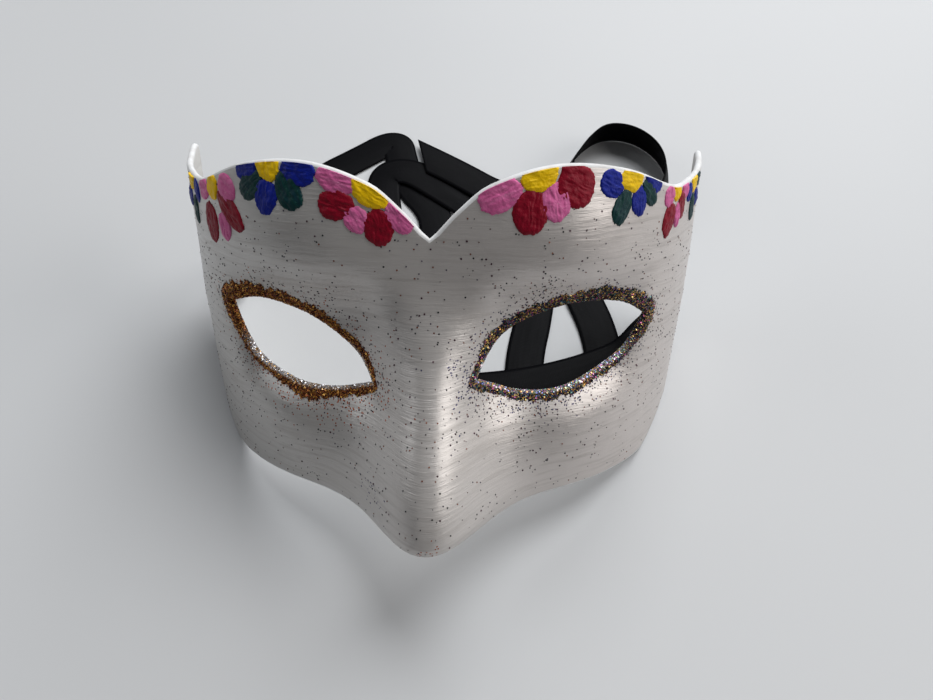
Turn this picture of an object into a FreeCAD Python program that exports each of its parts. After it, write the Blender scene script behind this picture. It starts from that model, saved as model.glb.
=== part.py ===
import FreeCAD, Part

import math
import os

# A half-face masquerade mask of painted papier-mache, lying as it rests on a table.
# It stands on the swept rear stretches of its lower edge, with the face tipped up and back.
#
# The face is designed upright: x to the right as one looks at it, y from front to back and
# z up, with the point between the eyes at zero. rest() then tips it back by TILT and lowers
# it on the table, where z is 0. "left" and "right" are as one looks at the mask from its front.
# All lengths are millimetres and all angles degrees.

# ---- driving dimensions: the shell -------------------------------------------------------
HALF_WIDTH = 87.0        # the plan curve's half width
DEPTH = 84.0             # how far the plan curve would reach back at a quarter turn
PLAN_POWER = 2.25        # 2 is an ellipse; more is squarer at the temples
NARROWING = 0.06         # the half width lost for each millimetre below the eyes
REAR_TURN = 80.0         # where on the plan curve the rear edge of a side wing is
WALL = 2.0               # the thickness of the papier-mache
TILT = 38.0              # how far the face is tipped back on the table
EYE_LINE_HEIGHT = 57.7   # the eye line's height over the table, at rest
REST_SHIFT = -15.2       # moves the resting mask so that its box is over the origin, to 1 mm

# The upper edge: (turn, height), from the notch over the brow to the wing's rear tip.
UPPER_EDGE = [(0, 30.9), (3, 37.6), (8, 44.8), (19, 49.7), (33, 48.0), (50, 41.4), (60, 42.2),
              (70, 44.2), (82, 48.2)]
TIP_TURNS = 2.5          # the stretch of the plan curve that the wing's rounded tip takes
TIP_DROP = 2.5           # how far the upper edge comes down over it
HEEL_TURNS = 7.0         # the same for the lower rear corner
HEEL_RISE = 9.0
LOWER_EDGE = -48.2       # the height of the front part of the lower edge
TABLE_SPARE = 1.0        # how far the uncut shell reaches under the table
EDGE_SOFTNESS = 2.6      # how gently the front of the lower edge turns into the swept rear

# ---- driving dimensions: openings, paint, glitter and ribbons ---------------------------
# Each eye opening: inner corner, points along the upper lid, outer corner, points along the
# lower lid back to the inner corner, as (distance from the middle, height).
RIGHT_EYE = [(13.0, -8.0), [(20.5, 3.2), (38.0, 9.8), (54.5, 9.0)], (63.5, 4.2),
             [(56.0, -7.5), (40.5, -14.0), (24.5, -13.8)]]
LEFT_EYE = [(17.3, -11.2), [(23.5, -2.8), (36.5, 5.4), (52.0, 8.2)], (63.0, 6.0),
            [(56.0, -9.0), (43.0, -14.2), (28.0, -14.4)]]
GLITTER_WIDTH = 3.2      # the glitter band round an eye opening
LAYER_GAP = 0.04         # between the shell and a dried layer on it, so that faces stay apart
GLITTER_THICK = 0.5
PAINT_THICK = 0.55
PETAL_GAP = 0.25         # bare shell between two petals
PATCH_TURN = 70.0        # where on the plan curve the ribbon's glued end is
PATCH_HEIGHT = 7.0
PATCH_SIZE = (18.0, 13.0)
PATCH_THICK = 1.2
RIBBON_TUBE = 3.0        # a round stand-in with the section of a 14 x 0.5 flat ribbon

AROUND = 28              # points along one half of the plan curve
UPWARDS = 17             # points from the lower edge to the upper edge
WALK_STEPS = 600         # steps in which the plan curve's length is measured
REAR_CROWDING = 0.12     # how much closer together the points stand towards the rear
NORMAL_STEP = 0.2        # how far apart the places are that give a face's direction
SEW_GAP = 1e-4           # the widest gap that sewing closes
CUT_START = -60          # an eye opening's cutter, upright: where it starts, and its length
CUT_LENGTH = 140
TABLE_SIDE = 400         # the block under the table that trims the wings
TABLE_DEEP = 50

# ---- the flowers ---------------------------------------------------------------------------
# A flower sits on the upper edge: its side, the plan curve's turn and the height at its
# middle, the middle's dab as (length along, length up, lean), and its petals as
# (colour, along, up, length along, length up, lean).
PINK, CRIMSON, BLUE, GREEN = "pink", "crimson", "blue", "green"
FLOWERS = [
    ("left_1", -8.0, 42.0, (11.4, 7.0, -32),
     [(PINK, -8.6, 3.2, 11.0, 6.8, -14), (CRIMSON, -8.6, -2.9, 9.8, 7.6, -10),
      (PINK, -3.6, -6.2, 6.6, 7.2, 40), (CRIMSON, 2.2, -8.0, 8.0, 9.6, 10),
      (PINK, 7.6, -5.4, 9.4, 7.0, -48)]),
    ("left_2", -26.3, 47.3, (7.8, 8.2, 0),
     [(BLUE, -7.9, -0.6, 8.8, 7.0, 10), (GREEN, -6.3, -4.8, 10.2, 7.4, 38),
      (BLUE, -1.2, -7.4, 7.4, 9.6, -15), (GREEN, 6.2, -5.4, 7.8, 10.4, 30),
      (BLUE, 9.1, -0.4, 10.6, 7.2, -5)]),
    ("left_3", -43.8, 39.4, (6.0, 8.4, 0),
     [(PINK, -6.1, -0.8, 6.8, 6.6, 0), (CRIMSON, -2.6, -9.6, 8.0, 12.4, 4),
      (PINK, 5.2, -9.8, 5.6, 8.4, 8), (CRIMSON, 8.6, -5.0, 14.0, 7.0, -40),
      (PINK, 7.6, 1.2, 8.6, 7.6, -20)]),
    ("left_4", -57.0, 39.2, (6.4, 6.4, 0),
     [(BLUE, 5.4, -2.0, 4.8, 7.0, 20), (GREEN, 1.6, -8.4, 5.6, 9.0, 8),
      (BLUE, -5.4, -5.0, 5.0, 7.4, -30)]),
    ("right_1", 16.0, 45.9, (10.4, 7.0, 14),
     [(PINK, -9.8, -3.6, 13.0, 8.0, 24), (CRIMSON, -2.2, -7.8, 9.4, 11.2, -5),
      (PINK, 4.6, -5.4, 8.2, 9.8, 12), (CRIMSON, 9.8, -1.6, 11.6, 11.0, -25)]),
    ("right_2", 34.8, 44.6, (8.0, 7.6, -10),
     [(BLUE, -6.6, -0.4, 8.4, 7.4, -20), (GREEN, -3.0, -6.6, 6.0, 10.0, -22),
      (BLUE, 3.1, -5.6, 5.8, 8.2, 6), (GREEN, 7.0, -3.9, 5.6, 8.4, 40),
      (BLUE, 8.8, -0.8, 8.2, 6.4, -38)]),
    ("right_3", 50.5, 38.8, (4.8, 6.0, 0),
     [(PINK, -4.4, -0.4, 5.4, 6.4, 0), (CRIMSON, -3.4, -6.8, 7.0, 10.4, -14),
      (PINK, 1.6, -6.4, 4.2, 7.4, 0), (CRIMSON, 4.4, -3.8, 5.4, 8.6, 10),
      (PINK, 6.4, 0.4, 5.0, 6.0, 0)]),
    ("right_4", 61.5, 39.6, (6.4, 6.4, 0),
     [(GREEN, 5.2, 1.2, 5.4, 5.0, 0), (BLUE, -4.4, -1.8, 5.2, 6.0, -20),
      (GREEN, 0.8, -6.8, 5.6, 9.0, 4), (BLUE, 5.8, -4.6, 4.6, 6.4, 30)]),
]
MIDDLE_RISE = 0.6        # the middle's dab over the flower's own height
POST_REACH = 9.0         # how far the posts that cut the thin layers reach each way
ROUND_SPARE = 0.05       # the least difference between an oval's two radii

# ---- the ribbons ----------------------------------------------------------------------------
# Points of each ribbon's middle line at rest, from the glued end inside the wing.
RIGHT_RIBBON = [(80.4, 34.5, 19.4), (78.2, 30.5, 11.0), (70.0, 20.0, 5.2), (51.0, 12.0, 5.0),
                (36.0, 7.0, 5.0), (20.5, 3.9, 4.8), (4.0, 2.4, 1.6), (-9.0, 6.5, 1.5),
                (-15.5, 19.5, 1.5), (-15.0, 35.5, 1.6), (-4.0, 49.5, 1.5), (16.0, 54.5, 1.6),
                (40.0, 55.5, 1.5), (64.0, 65.5, 2.6), (81.0, 79.5, 5.0), (90.0, 95.5, 7.0),
                (89.0, 113.0, 7.2), (79.0, 124.5, 7.0), (65.0, 126.5, 7.2), (54.5, 114.5, 7.0),
                (47.0, 100.5, 6.0), (34.0, 87.5, 4.6), (16.3, 93.6, 4.8), (5.6, 102.1, 4.6),
                (-5.7, 109.5, 4.8), (-19.0, 117.0, 4.8)]
LEFT_RIBBON = [(-80.5, 34.5, 20.4), (-79.8, 42.5, 10.6), (-78.0, 54.5, 3.6), (-72.0, 76.5, 1.5),
               (-58.0, 98.5, 1.6), (-43.0, 113.0, 1.5), (-28.0, 122.0, 1.6), (-20.0, 109.5, 1.5),
               (-14.5, 95.5, 1.6), (-6.0, 82.0, 1.5), (-9.0, 66.5, 1.6), (-22.0, 57.5, 1.5),
               (-37.0, 61.5, 1.6), (-46.0, 74.5, 1.5), (-46.0, 89.5, 1.6), (-38.0, 99.5, 2.2),
               (-24.0, 102.0, 5.2), (-5.0, 92.5, 5.2), (9.0, 82.5, 1.8), (24.0, 74.5, 2.4),
               (40.0, 63.5, 5.4), (50.0, 54.5, 5.4), (51.5, 43.5, 1.8), (58.0, 27.5, 1.5),
               (60.0, 10.5, 1.5), (54.0, -3.5, 1.5), (40.0, -8.5, 1.5), (29.0, 0.5, 1.5),
               (30.0, 15.5, 1.5), (33.5, 30.5, 1.5), (35.2, 44.0, 1.5)]


def through(points, x):
    """The height at x of a smooth curve through the points."""
    last = len(points) - 1
    i = 0
    while i < last - 1 and x > points[i + 1][0]:
        i += 1

    def slope(k):
        before = points[max(k - 1, 0)]
        after = points[min(k + 1, last)]
        return (after[1] - before[1]) / (after[0] - before[0])

    (x0, y0), (x1, y1) = points[i], points[i + 1]
    span = x1 - x0
    t = (x - x0) / span
    return ((2 * t**3 - 3 * t**2 + 1) * y0 + (t**3 - 2 * t**2 + t) * span * slope(i)
            + (3 * t**2 - 2 * t**3) * y1 + (t**3 - t**2) * span * slope(i + 1))


def ease(x, start, end):
    """0 up to start, 1 from end on, and smooth between."""
    t = min(max((x - start) / (end - start), 0.0), 1.0)
    return t * t * (3 - 2 * t)


def plan(turn, height):
    """The plan curve without the features: (x, y) at a turn from the middle."""
    half_width = HALF_WIDTH - NARROWING * max(0.0, -height)
    a = math.radians(abs(turn))
    x = half_width * math.sin(a) ** (2 / PLAN_POWER)
    y = DEPTH * (1 - math.cos(a) ** (2 / PLAN_POWER))
    return math.copysign(x, turn), y


def features(x, z):
    """How far the nose, brows, cheeks and eye hollows stand forward of the plan curve."""
    a = abs(x)
    nose_width = 11.5 + 8 * ease(-z, 0, 45)
    bridge_height = 4 * ease(-z, -22, -2)
    nose_height = bridge_height + 26 * ease(-z, -12, 46) - 9 * ease(-z, 44, 56)
    nose = nose_height * math.exp(-((a / nose_width) ** 2))
    brow = 4 * math.exp(-(((a - 38) / 26) ** 2) - ((z - 30) / 16) ** 2)
    hollow = 7 * math.exp(-(((a - 36) / 22) ** 4) - (z / 17) ** 4)
    cheek = 3 * math.exp(-(((a - 42) / 22) ** 2) - ((z + 30) / 16) ** 2)
    return nose + brow + cheek - hollow


def face(turn, height):
    """A point on the outer face, upright."""
    x, y = plan(turn, height)
    return FreeCAD.Vector(x, y - features(x, height), height)


def outward(turn, height):
    """The outer face's normal there."""
    step = NORMAL_STEP
    side = 1 if turn >= 0 else -1
    turn = side * max(abs(turn), step)
    along = face(turn + step, height) - face(turn - step, height)
    up = face(turn, height + step) - face(turn, height - step)
    normal = along.cross(up)
    normal.normalize()
    return normal


def middle_normal(height):
    """The normal on the middle line, where the face is symmetric."""
    step = NORMAL_STEP
    up = face(0, height + step) - face(0, height - step)
    normal = FreeCAD.Vector(1, 0, 0).cross(up)
    normal.normalize()
    return normal


def upper_edge(turn):
    """The height of the upper edge, with the wing's rounded tip."""
    q = max(0.0, (turn - (REAR_TURN - TIP_TURNS)) / TIP_TURNS)
    return through(UPPER_EDGE, turn) - TIP_DROP * (1 - math.sqrt(max(0.0, 1 - q * q)))


def table_line(turn):
    """The height, on the upright face, of the table as it rests."""
    forward = -plan(turn, LOWER_EDGE)[1]
    tilt = math.radians(TILT)
    return (-EYE_LINE_HEIGHT - forward * math.sin(tilt)) / math.cos(tilt)


def lower_edge(turn):
    """The height of the lower edge before the table trims it, with the rounded heel."""
    q = max(0.0, (turn - (REAR_TURN - HEEL_TURNS)) / HEEL_TURNS)
    heel = HEEL_RISE * (1 - math.sqrt(max(0.0, 1 - q * q)))
    swept = table_line(turn) - TABLE_SPARE
    bend = EDGE_SOFTNESS * math.log1p(math.exp((swept - LOWER_EDGE) / EDGE_SOFTNESS))
    return LOWER_EDGE + bend + heel


def even_turns():
    """Turns that part the plan curve from the middle to the rear edge into even lengths."""
    fine = [REAR_TURN * i / WALK_STEPS for i in range(WALK_STEPS + 1)]
    walked = [0.0]
    for before, after in zip(fine, fine[1:]):
        (x0, y0), (x1, y1) = plan(before, 0), plan(after, 0)
        walked.append(walked[-1] + math.hypot(x1 - x0, y1 - y0))
    turns = []
    for i in range(AROUND):
        share = i / (AROUND - 1)
        target = walked[-1] * (share + REAR_CROWDING * math.sin(math.pi * share) * share)
        turns.append(next(t for t, w in zip(fine, walked) if w >= target - 1e-9))
    turns[-1] = REAR_TURN
    return turns


TURNS = even_turns()


def skin(side, offset):
    """One half of the face as a surface, offset outwards."""
    rows = []
    for turn in TURNS:
        row = []
        low, high = lower_edge(turn), upper_edge(turn)
        for j in range(UPWARDS):
            height = low + (high - low) * j / (UPWARDS - 1)
            if turn == 0:
                normal = middle_normal(height)
            else:
                normal = outward(turn, height)
            point = face(turn, height) + normal * offset
            row.append(FreeCAD.Vector(side * point.x, point.y, point.z))
        rows.append(row)
    surface = Part.BSplineSurface()
    surface.interpolate(rows)
    return surface


def layer(inner_offset, outer_offset):
    """The closed solid between two offsets of the whole face."""
    faces = []
    for side in (-1, 1):
        inner = skin(side, inner_offset)
        outer = skin(side, outer_offset)
        faces.append(inner.toShape())
        faces.append(outer.toShape())
        u0, u1, v0, v1 = inner.bounds()
        rims = [(inner.vIso(v0), outer.vIso(v0)), (inner.vIso(v1), outer.vIso(v1)),
                (inner.uIso(u1), outer.uIso(u1))]
        for a, b in rims:
            faces.append(Part.makeRuledSurface(a.toShape(), b.toShape()))
    shell = Part.Shell(faces)
    shell.sewShape(SEW_GAP)
    solid = Part.Solid(Part.Shell(shell.Faces))
    if solid.Volume < 0:
        solid.reverse()
    return solid


def lid(points):
    """A smooth edge through points of (x, height), well in front of the face."""
    curve = Part.BSplineCurve()
    curve.interpolate([FreeCAD.Vector(x, CUT_START, z) for x, z in points])
    return curve.toShape()


def eye_prism(side, eye, grow):
    """The almond of an eye opening, grown all round and run through the face."""
    inner, upper, outer, lower = eye
    middle = ((inner[0] + outer[0]) / 2, (inner[1] + outer[1]) / 2)

    def grown(point):
        dx, dz = point[0] - middle[0], point[1] - middle[1]
        reach = math.hypot(dx, dz)
        return side * (point[0] + grow * dx / reach), point[1] + grow * dz / reach

    top = lid([grown(p) for p in (inner, *upper, outer)])
    bottom = lid([grown(p) for p in (outer, *lower, inner)])
    return Part.Face(Part.Wire([top, bottom])).extrude(FreeCAD.Vector(0, CUT_LENGTH, 0))


def local_frame(turn, height):
    """The point on the face, and the directions along the rim, up and out of the face there."""
    side = 1 if turn >= 0 else -1
    point = face(abs(turn), height)
    normal = outward(abs(turn), height)
    normal.z = 0
    normal.normalize()
    point.x *= side
    normal.x *= side
    up = FreeCAD.Vector(0, 0, 1)
    return point, up.cross(normal), up, normal


def petal_prism(frame, along, up, length, height, lean):
    """An oval post through the face, from its place in the local frame."""
    point, rim_way, up_way, normal = frame
    centre = point + rim_way * along + up_way * up - normal * POST_REACH
    a = math.radians(lean)
    first = rim_way * math.cos(a) + up_way * math.sin(a)
    second = up_way * math.cos(a) - rim_way * math.sin(a)
    major, minor = (first, second) if length >= height else (second, first)
    large, small = max(length, height) / 2, min(length, height) / 2
    large = max(large, small + ROUND_SPARE)
    oval = Part.Ellipse(centre + major * large, centre + minor * small, centre)
    return Part.Face(Part.Wire(oval.toShape())).extrude(normal * 2 * POST_REACH)


def tube(points, name):
    """A round tube along straight runs joined by arcs, from flat end to flat end."""
    points = [FreeCAD.Vector(*p) for p in points]
    edges, radii, start = [], [], points[0]
    length = 0.0
    for before, corner, after in zip(points, points[1:], points[2:]):
        back, ahead = before - corner, after - corner
        run = min(back.Length, ahead.Length)
        back.normalize()
        ahead.normalize()
        turn = math.pi - back.getAngle(ahead)
        reach = 0.45 * run
        radii.append(reach / math.tan(turn / 2))
        first, last = corner + back * reach, corner + ahead * reach
        bisector = back + ahead
        bisector.normalize()
        to_arc = radii[-1] / math.cos(turn / 2) - radii[-1]
        edges.append(Part.LineSegment(start, first).toShape())
        edges.append(Part.Arc(first, corner + bisector * to_arc, last).toShape())
        length += (first - start).Length + radii[-1] * turn
        start = last
    edges.append(Part.LineSegment(start, points[-1]).toShape())
    length += (points[-1] - start).Length
    path = Part.Wire(edges)
    ring = Part.Circle(points[0], points[1] - points[0], RIBBON_TUBE / 2)
    solid = path.makePipeShell([Part.Wire(ring.toShape())], True, False, 2)
    section = math.pi * RIBBON_TUBE**2 / 4
    print("%s: length %.1f, volume %.1f against %.1f, radii %s" % (
        name, length, solid.Volume, section * length, " ".join("%.0f" % r for r in radii)))
    print("   runs %s" % " ".join("%.0f" % (b - a).Length for a, b in zip(points, points[1:])))
    return solid


def rest(shape):
    """Tips an upright shape back and sets it on the table."""
    placed = shape.copy()
    placed.rotate(FreeCAD.Vector(0, 0, 0), FreeCAD.Vector(1, 0, 0), -TILT)
    placed.translate(FreeCAD.Vector(0, REST_SHIFT, EYE_LINE_HEIGHT))
    return placed


def save(name, shape):
    """Writes one node and says what it is."""
    box = shape.optimalBoundingBox()
    print("%-28s %d solid(s) valid %s volume %.1f  x %.2f..%.2f y %.2f..%.2f z %.2f..%.2f" % (
        name, len(shape.Solids), shape.isValid(), shape.Volume, box.XMin, box.XMax, box.YMin,
        box.YMax, box.ZMin, box.ZMax))
    shape.exportStep("parts/%s.step" % name)


def make_shell():
    """The papier-mache shell with both eye openings, trimmed flat where it rests."""
    shell = layer(-WALL, 0.0)
    shell = shell.cut(eye_prism(-1, LEFT_EYE, 0.0)).cut(eye_prism(1, RIGHT_EYE, 0.0))
    corner = FreeCAD.Vector(-TABLE_SIDE / 2, -TABLE_SIDE / 2, -TABLE_DEEP)
    under = Part.makeBox(TABLE_SIDE, TABLE_SIDE, TABLE_DEEP, corner)
    return rest(shell).cut(under)


def make_glitter():
    """The glued glitter band round each eye opening."""
    coat = layer(LAYER_GAP, LAYER_GAP + GLITTER_THICK)
    for name, side, eye in (("left", -1, LEFT_EYE), ("right", 1, RIGHT_EYE)):
        band = eye_prism(side, eye, GLITTER_WIDTH).cut(eye_prism(side, eye, 0.0))
        save("eye_glitter_" + name, rest(coat.common(band)))


def make_flowers():
    """The thick painted flowers: a node for each colour of each flower."""
    coat = layer(LAYER_GAP, LAYER_GAP + PAINT_THICK)
    for name, turn, height, middle, petals in FLOWERS:
        frame = local_frame(turn, height)
        length, tall, lean = middle
        centre = petal_prism(frame, 0, MIDDLE_RISE, length, tall, lean)
        taken = [petal_prism(frame, 0, MIDDLE_RISE, length + PETAL_GAP, tall + PETAL_GAP, lean)]
        colours = {}
        for colour, along, up, length, tall, lean in petals:
            post = petal_prism(frame, along, up, length, tall, lean)
            for other in taken:
                post = post.cut(other)
            taken.append(petal_prism(frame, along, up, length + PETAL_GAP, tall + PETAL_GAP, lean))
            colours.setdefault(colour, []).append(post)
        save("flower_%s_yellow" % name, rest(coat.common(centre)))
        for colour, posts in colours.items():
            pieces = [solid for post in posts for solid in coat.common(post).Solids]
            save("flower_%s_%s" % (name, colour), rest(Part.makeCompound(pieces)))


def make_patches():
    """The cloth patch that holds each ribbon's end inside its wing."""
    lining = layer(-WALL - LAYER_GAP - PATCH_THICK, -WALL - LAYER_GAP)
    for name, side in (("left", -1), ("right", 1)):
        frame = local_frame(side * PATCH_TURN, PATCH_HEIGHT)
        point, rim_way, up_way, normal = frame
        wide, tall = PATCH_SIZE
        corner = point - normal * POST_REACH - rim_way * (wide / 2) - up_way * (tall / 2)
        outline = Part.makePolygon([corner, corner + rim_way * wide,
                                    corner + rim_way * wide + up_way * tall,
                                    corner + up_way * tall, corner])
        save("ribbon_patch_" + name, rest(lining.common(Part.Face(outline).extrude(normal * 2 * POST_REACH))))


save("mask_shell", make_shell())
make_glitter()
make_flowers()
make_patches()
save("ribbon_left", tube(LEFT_RIBBON, "ribbon_left"))
save("ribbon_right", tube(RIGHT_RIBBON, "ribbon_right"))
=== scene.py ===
import logging
import math
from bisect import bisect_left
from dataclasses import dataclass, field
from enum import Enum

import bpy
import numpy as np
from mathutils import Matrix, Vector, noise
from mathutils.geometry import delaunay_2d_cdt


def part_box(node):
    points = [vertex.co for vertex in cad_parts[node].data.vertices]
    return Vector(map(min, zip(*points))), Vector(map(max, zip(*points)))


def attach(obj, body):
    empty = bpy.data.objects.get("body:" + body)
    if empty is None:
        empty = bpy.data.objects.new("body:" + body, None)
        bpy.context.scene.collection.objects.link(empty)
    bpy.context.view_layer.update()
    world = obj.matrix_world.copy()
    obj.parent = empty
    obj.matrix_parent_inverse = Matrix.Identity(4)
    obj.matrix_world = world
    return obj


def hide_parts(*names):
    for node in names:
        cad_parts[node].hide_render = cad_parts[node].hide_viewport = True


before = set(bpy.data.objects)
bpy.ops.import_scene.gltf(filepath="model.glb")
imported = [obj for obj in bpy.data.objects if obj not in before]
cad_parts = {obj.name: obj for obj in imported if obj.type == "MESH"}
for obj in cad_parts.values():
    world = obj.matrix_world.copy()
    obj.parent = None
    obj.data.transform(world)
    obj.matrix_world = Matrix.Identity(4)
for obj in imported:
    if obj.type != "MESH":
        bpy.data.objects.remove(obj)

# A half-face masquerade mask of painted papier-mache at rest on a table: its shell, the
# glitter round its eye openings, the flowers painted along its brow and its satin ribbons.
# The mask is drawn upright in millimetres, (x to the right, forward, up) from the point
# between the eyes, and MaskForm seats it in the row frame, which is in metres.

LOG = logging.getLogger("mask")
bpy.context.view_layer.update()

MM = 0.001
BODY = "root"
UP = Vector((0.0, 0.0, 1.0))
STEPS_PER_SPAN = 40      # points that smooth_path tries between two of its given points


# ---- small tools ---------------------------------------------------------------------------


def ease(x: float, start: float, end: float) -> float:
    """0 up to start, 1 from end on, and smooth between."""
    t = min(max((x - start) / (end - start), 0.0), 1.0)
    return t * t * (3 - 2 * t)


def through(points: list, x: float) -> float:
    """The height at x of a smooth curve through points.

    Args:
        points: (x, height) pairs in rising order of x.
        x: where to read the curve.

    Returns:
        The curve's height there.
    """
    last = len(points) - 1
    i = 0
    while i < last - 1 and x > points[i + 1][0]:
        i += 1

    def slope(k: int) -> float:
        """The curve's slope at a point."""
        before, after = points[max(k - 1, 0)], points[min(k + 1, last)]
        return (after[1] - before[1]) / (after[0] - before[0])

    (x0, y0), (x1, y1) = points[i], points[i + 1]
    span = x1 - x0
    t = (x - x0) / span
    return ((2 * t**3 - 3 * t**2 + 1) * y0 + (t**3 - 2 * t**2 + t) * span * slope(i)
            + (3 * t**2 - 2 * t**3) * y1 + (t**3 - t**2) * span * slope(i + 1))


def ripple(x: float, y: float, seed: float) -> float:
    """Smooth noise from about -1 to 1 at a place in millimetres."""
    return noise.noise(Vector((x, y, seed)))


def lengths_along(points: list) -> list:
    """How far along a path each of its points lies, from 0 at the first."""
    walked = [0.0]
    for a, b in zip(points, points[1:]):
        walked.append(walked[-1] + math.dist(a, b))
    return walked


def smooth_path(points: list, count: int) -> list:
    """Evenly spaced points on a smooth open curve through 2-D points.

    Args:
        points: the (x, y) pairs that the curve passes.
        count: how many points to give back, both ends among them.

    Returns:
        The (x, y) pairs along the curve.
    """
    dense = []
    last = len(points) - 1
    for i in range(last):
        p0, p1 = points[max(i - 1, 0)], points[i]
        p2, p3 = points[i + 1], points[min(i + 2, last)]
        for k in range(STEPS_PER_SPAN):
            t = k / STEPS_PER_SPAN
            dense.append(tuple(
                0.5 * (2 * b + (c - a) * t + (2 * a - 5 * b + 4 * c - d) * t**2
                       + (3 * b - a - 3 * c + d) * t**3)
                for a, b, c, d in zip(p0, p1, p2, p3)))
    dense.append(tuple(points[last]))
    walked = lengths_along(dense)
    found = []
    for k in range(count):
        target = walked[-1] * k / (count - 1)
        i = min(max(bisect_left(walked, target), 1), len(dense) - 1)
        t = (target - walked[i - 1]) / max(walked[i] - walked[i - 1], 1e-9)
        found.append(tuple(a + (b - a) * t for a, b in zip(dense[i - 1], dense[i])))
    return found


def new_object(name: str, points: list, faces: list) -> bpy.types.Object:
    """A smooth-shaded mesh object at the origin.

    Args:
        name: the piece's name.
        points: its vertices in the row frame, in metres.
        faces: its faces as vertex numbers.

    Returns:
        The object, linked to the scene.
    """
    mesh = bpy.data.meshes.new(name)
    mesh.from_pydata([tuple(p) for p in points], [], faces)
    mesh.validate()
    mesh.shade_smooth()
    mesh.update()
    piece = bpy.data.objects.new(name, mesh)
    bpy.context.scene.collection.objects.link(piece)
    return piece


def give_uv(piece: bpy.types.Object, name: str, pairs: list) -> None:
    """Stores one (u, v) pair for each vertex as a UV map."""
    layer = piece.data.uv_layers.new(name=name)
    for loop in piece.data.loops:
        layer.data[loop.index].uv = pairs[loop.vertex_index]


def give_values(piece: bpy.types.Object, name: str, values: list) -> None:
    """Stores one number for each vertex as an attribute."""
    attribute = piece.data.attributes.new(name, "FLOAT", "POINT")
    attribute.data.foreach_set("value", values)


def seat_piece(piece: bpy.types.Object, slot: str, *nodes: str) -> None:
    """Makes a finished piece ride on the body and stand for its CAD nodes.

    Args:
        piece: the finished piece.
        slot: the record's material slot; not used.
        nodes: the CAD nodes that it replaces.
    """
    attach(piece, BODY)
    if nodes:
        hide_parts(*nodes)
    LOG.info("%s: %d faces", piece.name, len(piece.data.polygons))


# ---- shader tools --------------------------------------------------------------------------


MIX_INPUTS, MIX_OUTPUT = (0, 6, 7), 2      # a Mix node's sockets: share and colours, and result


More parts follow.
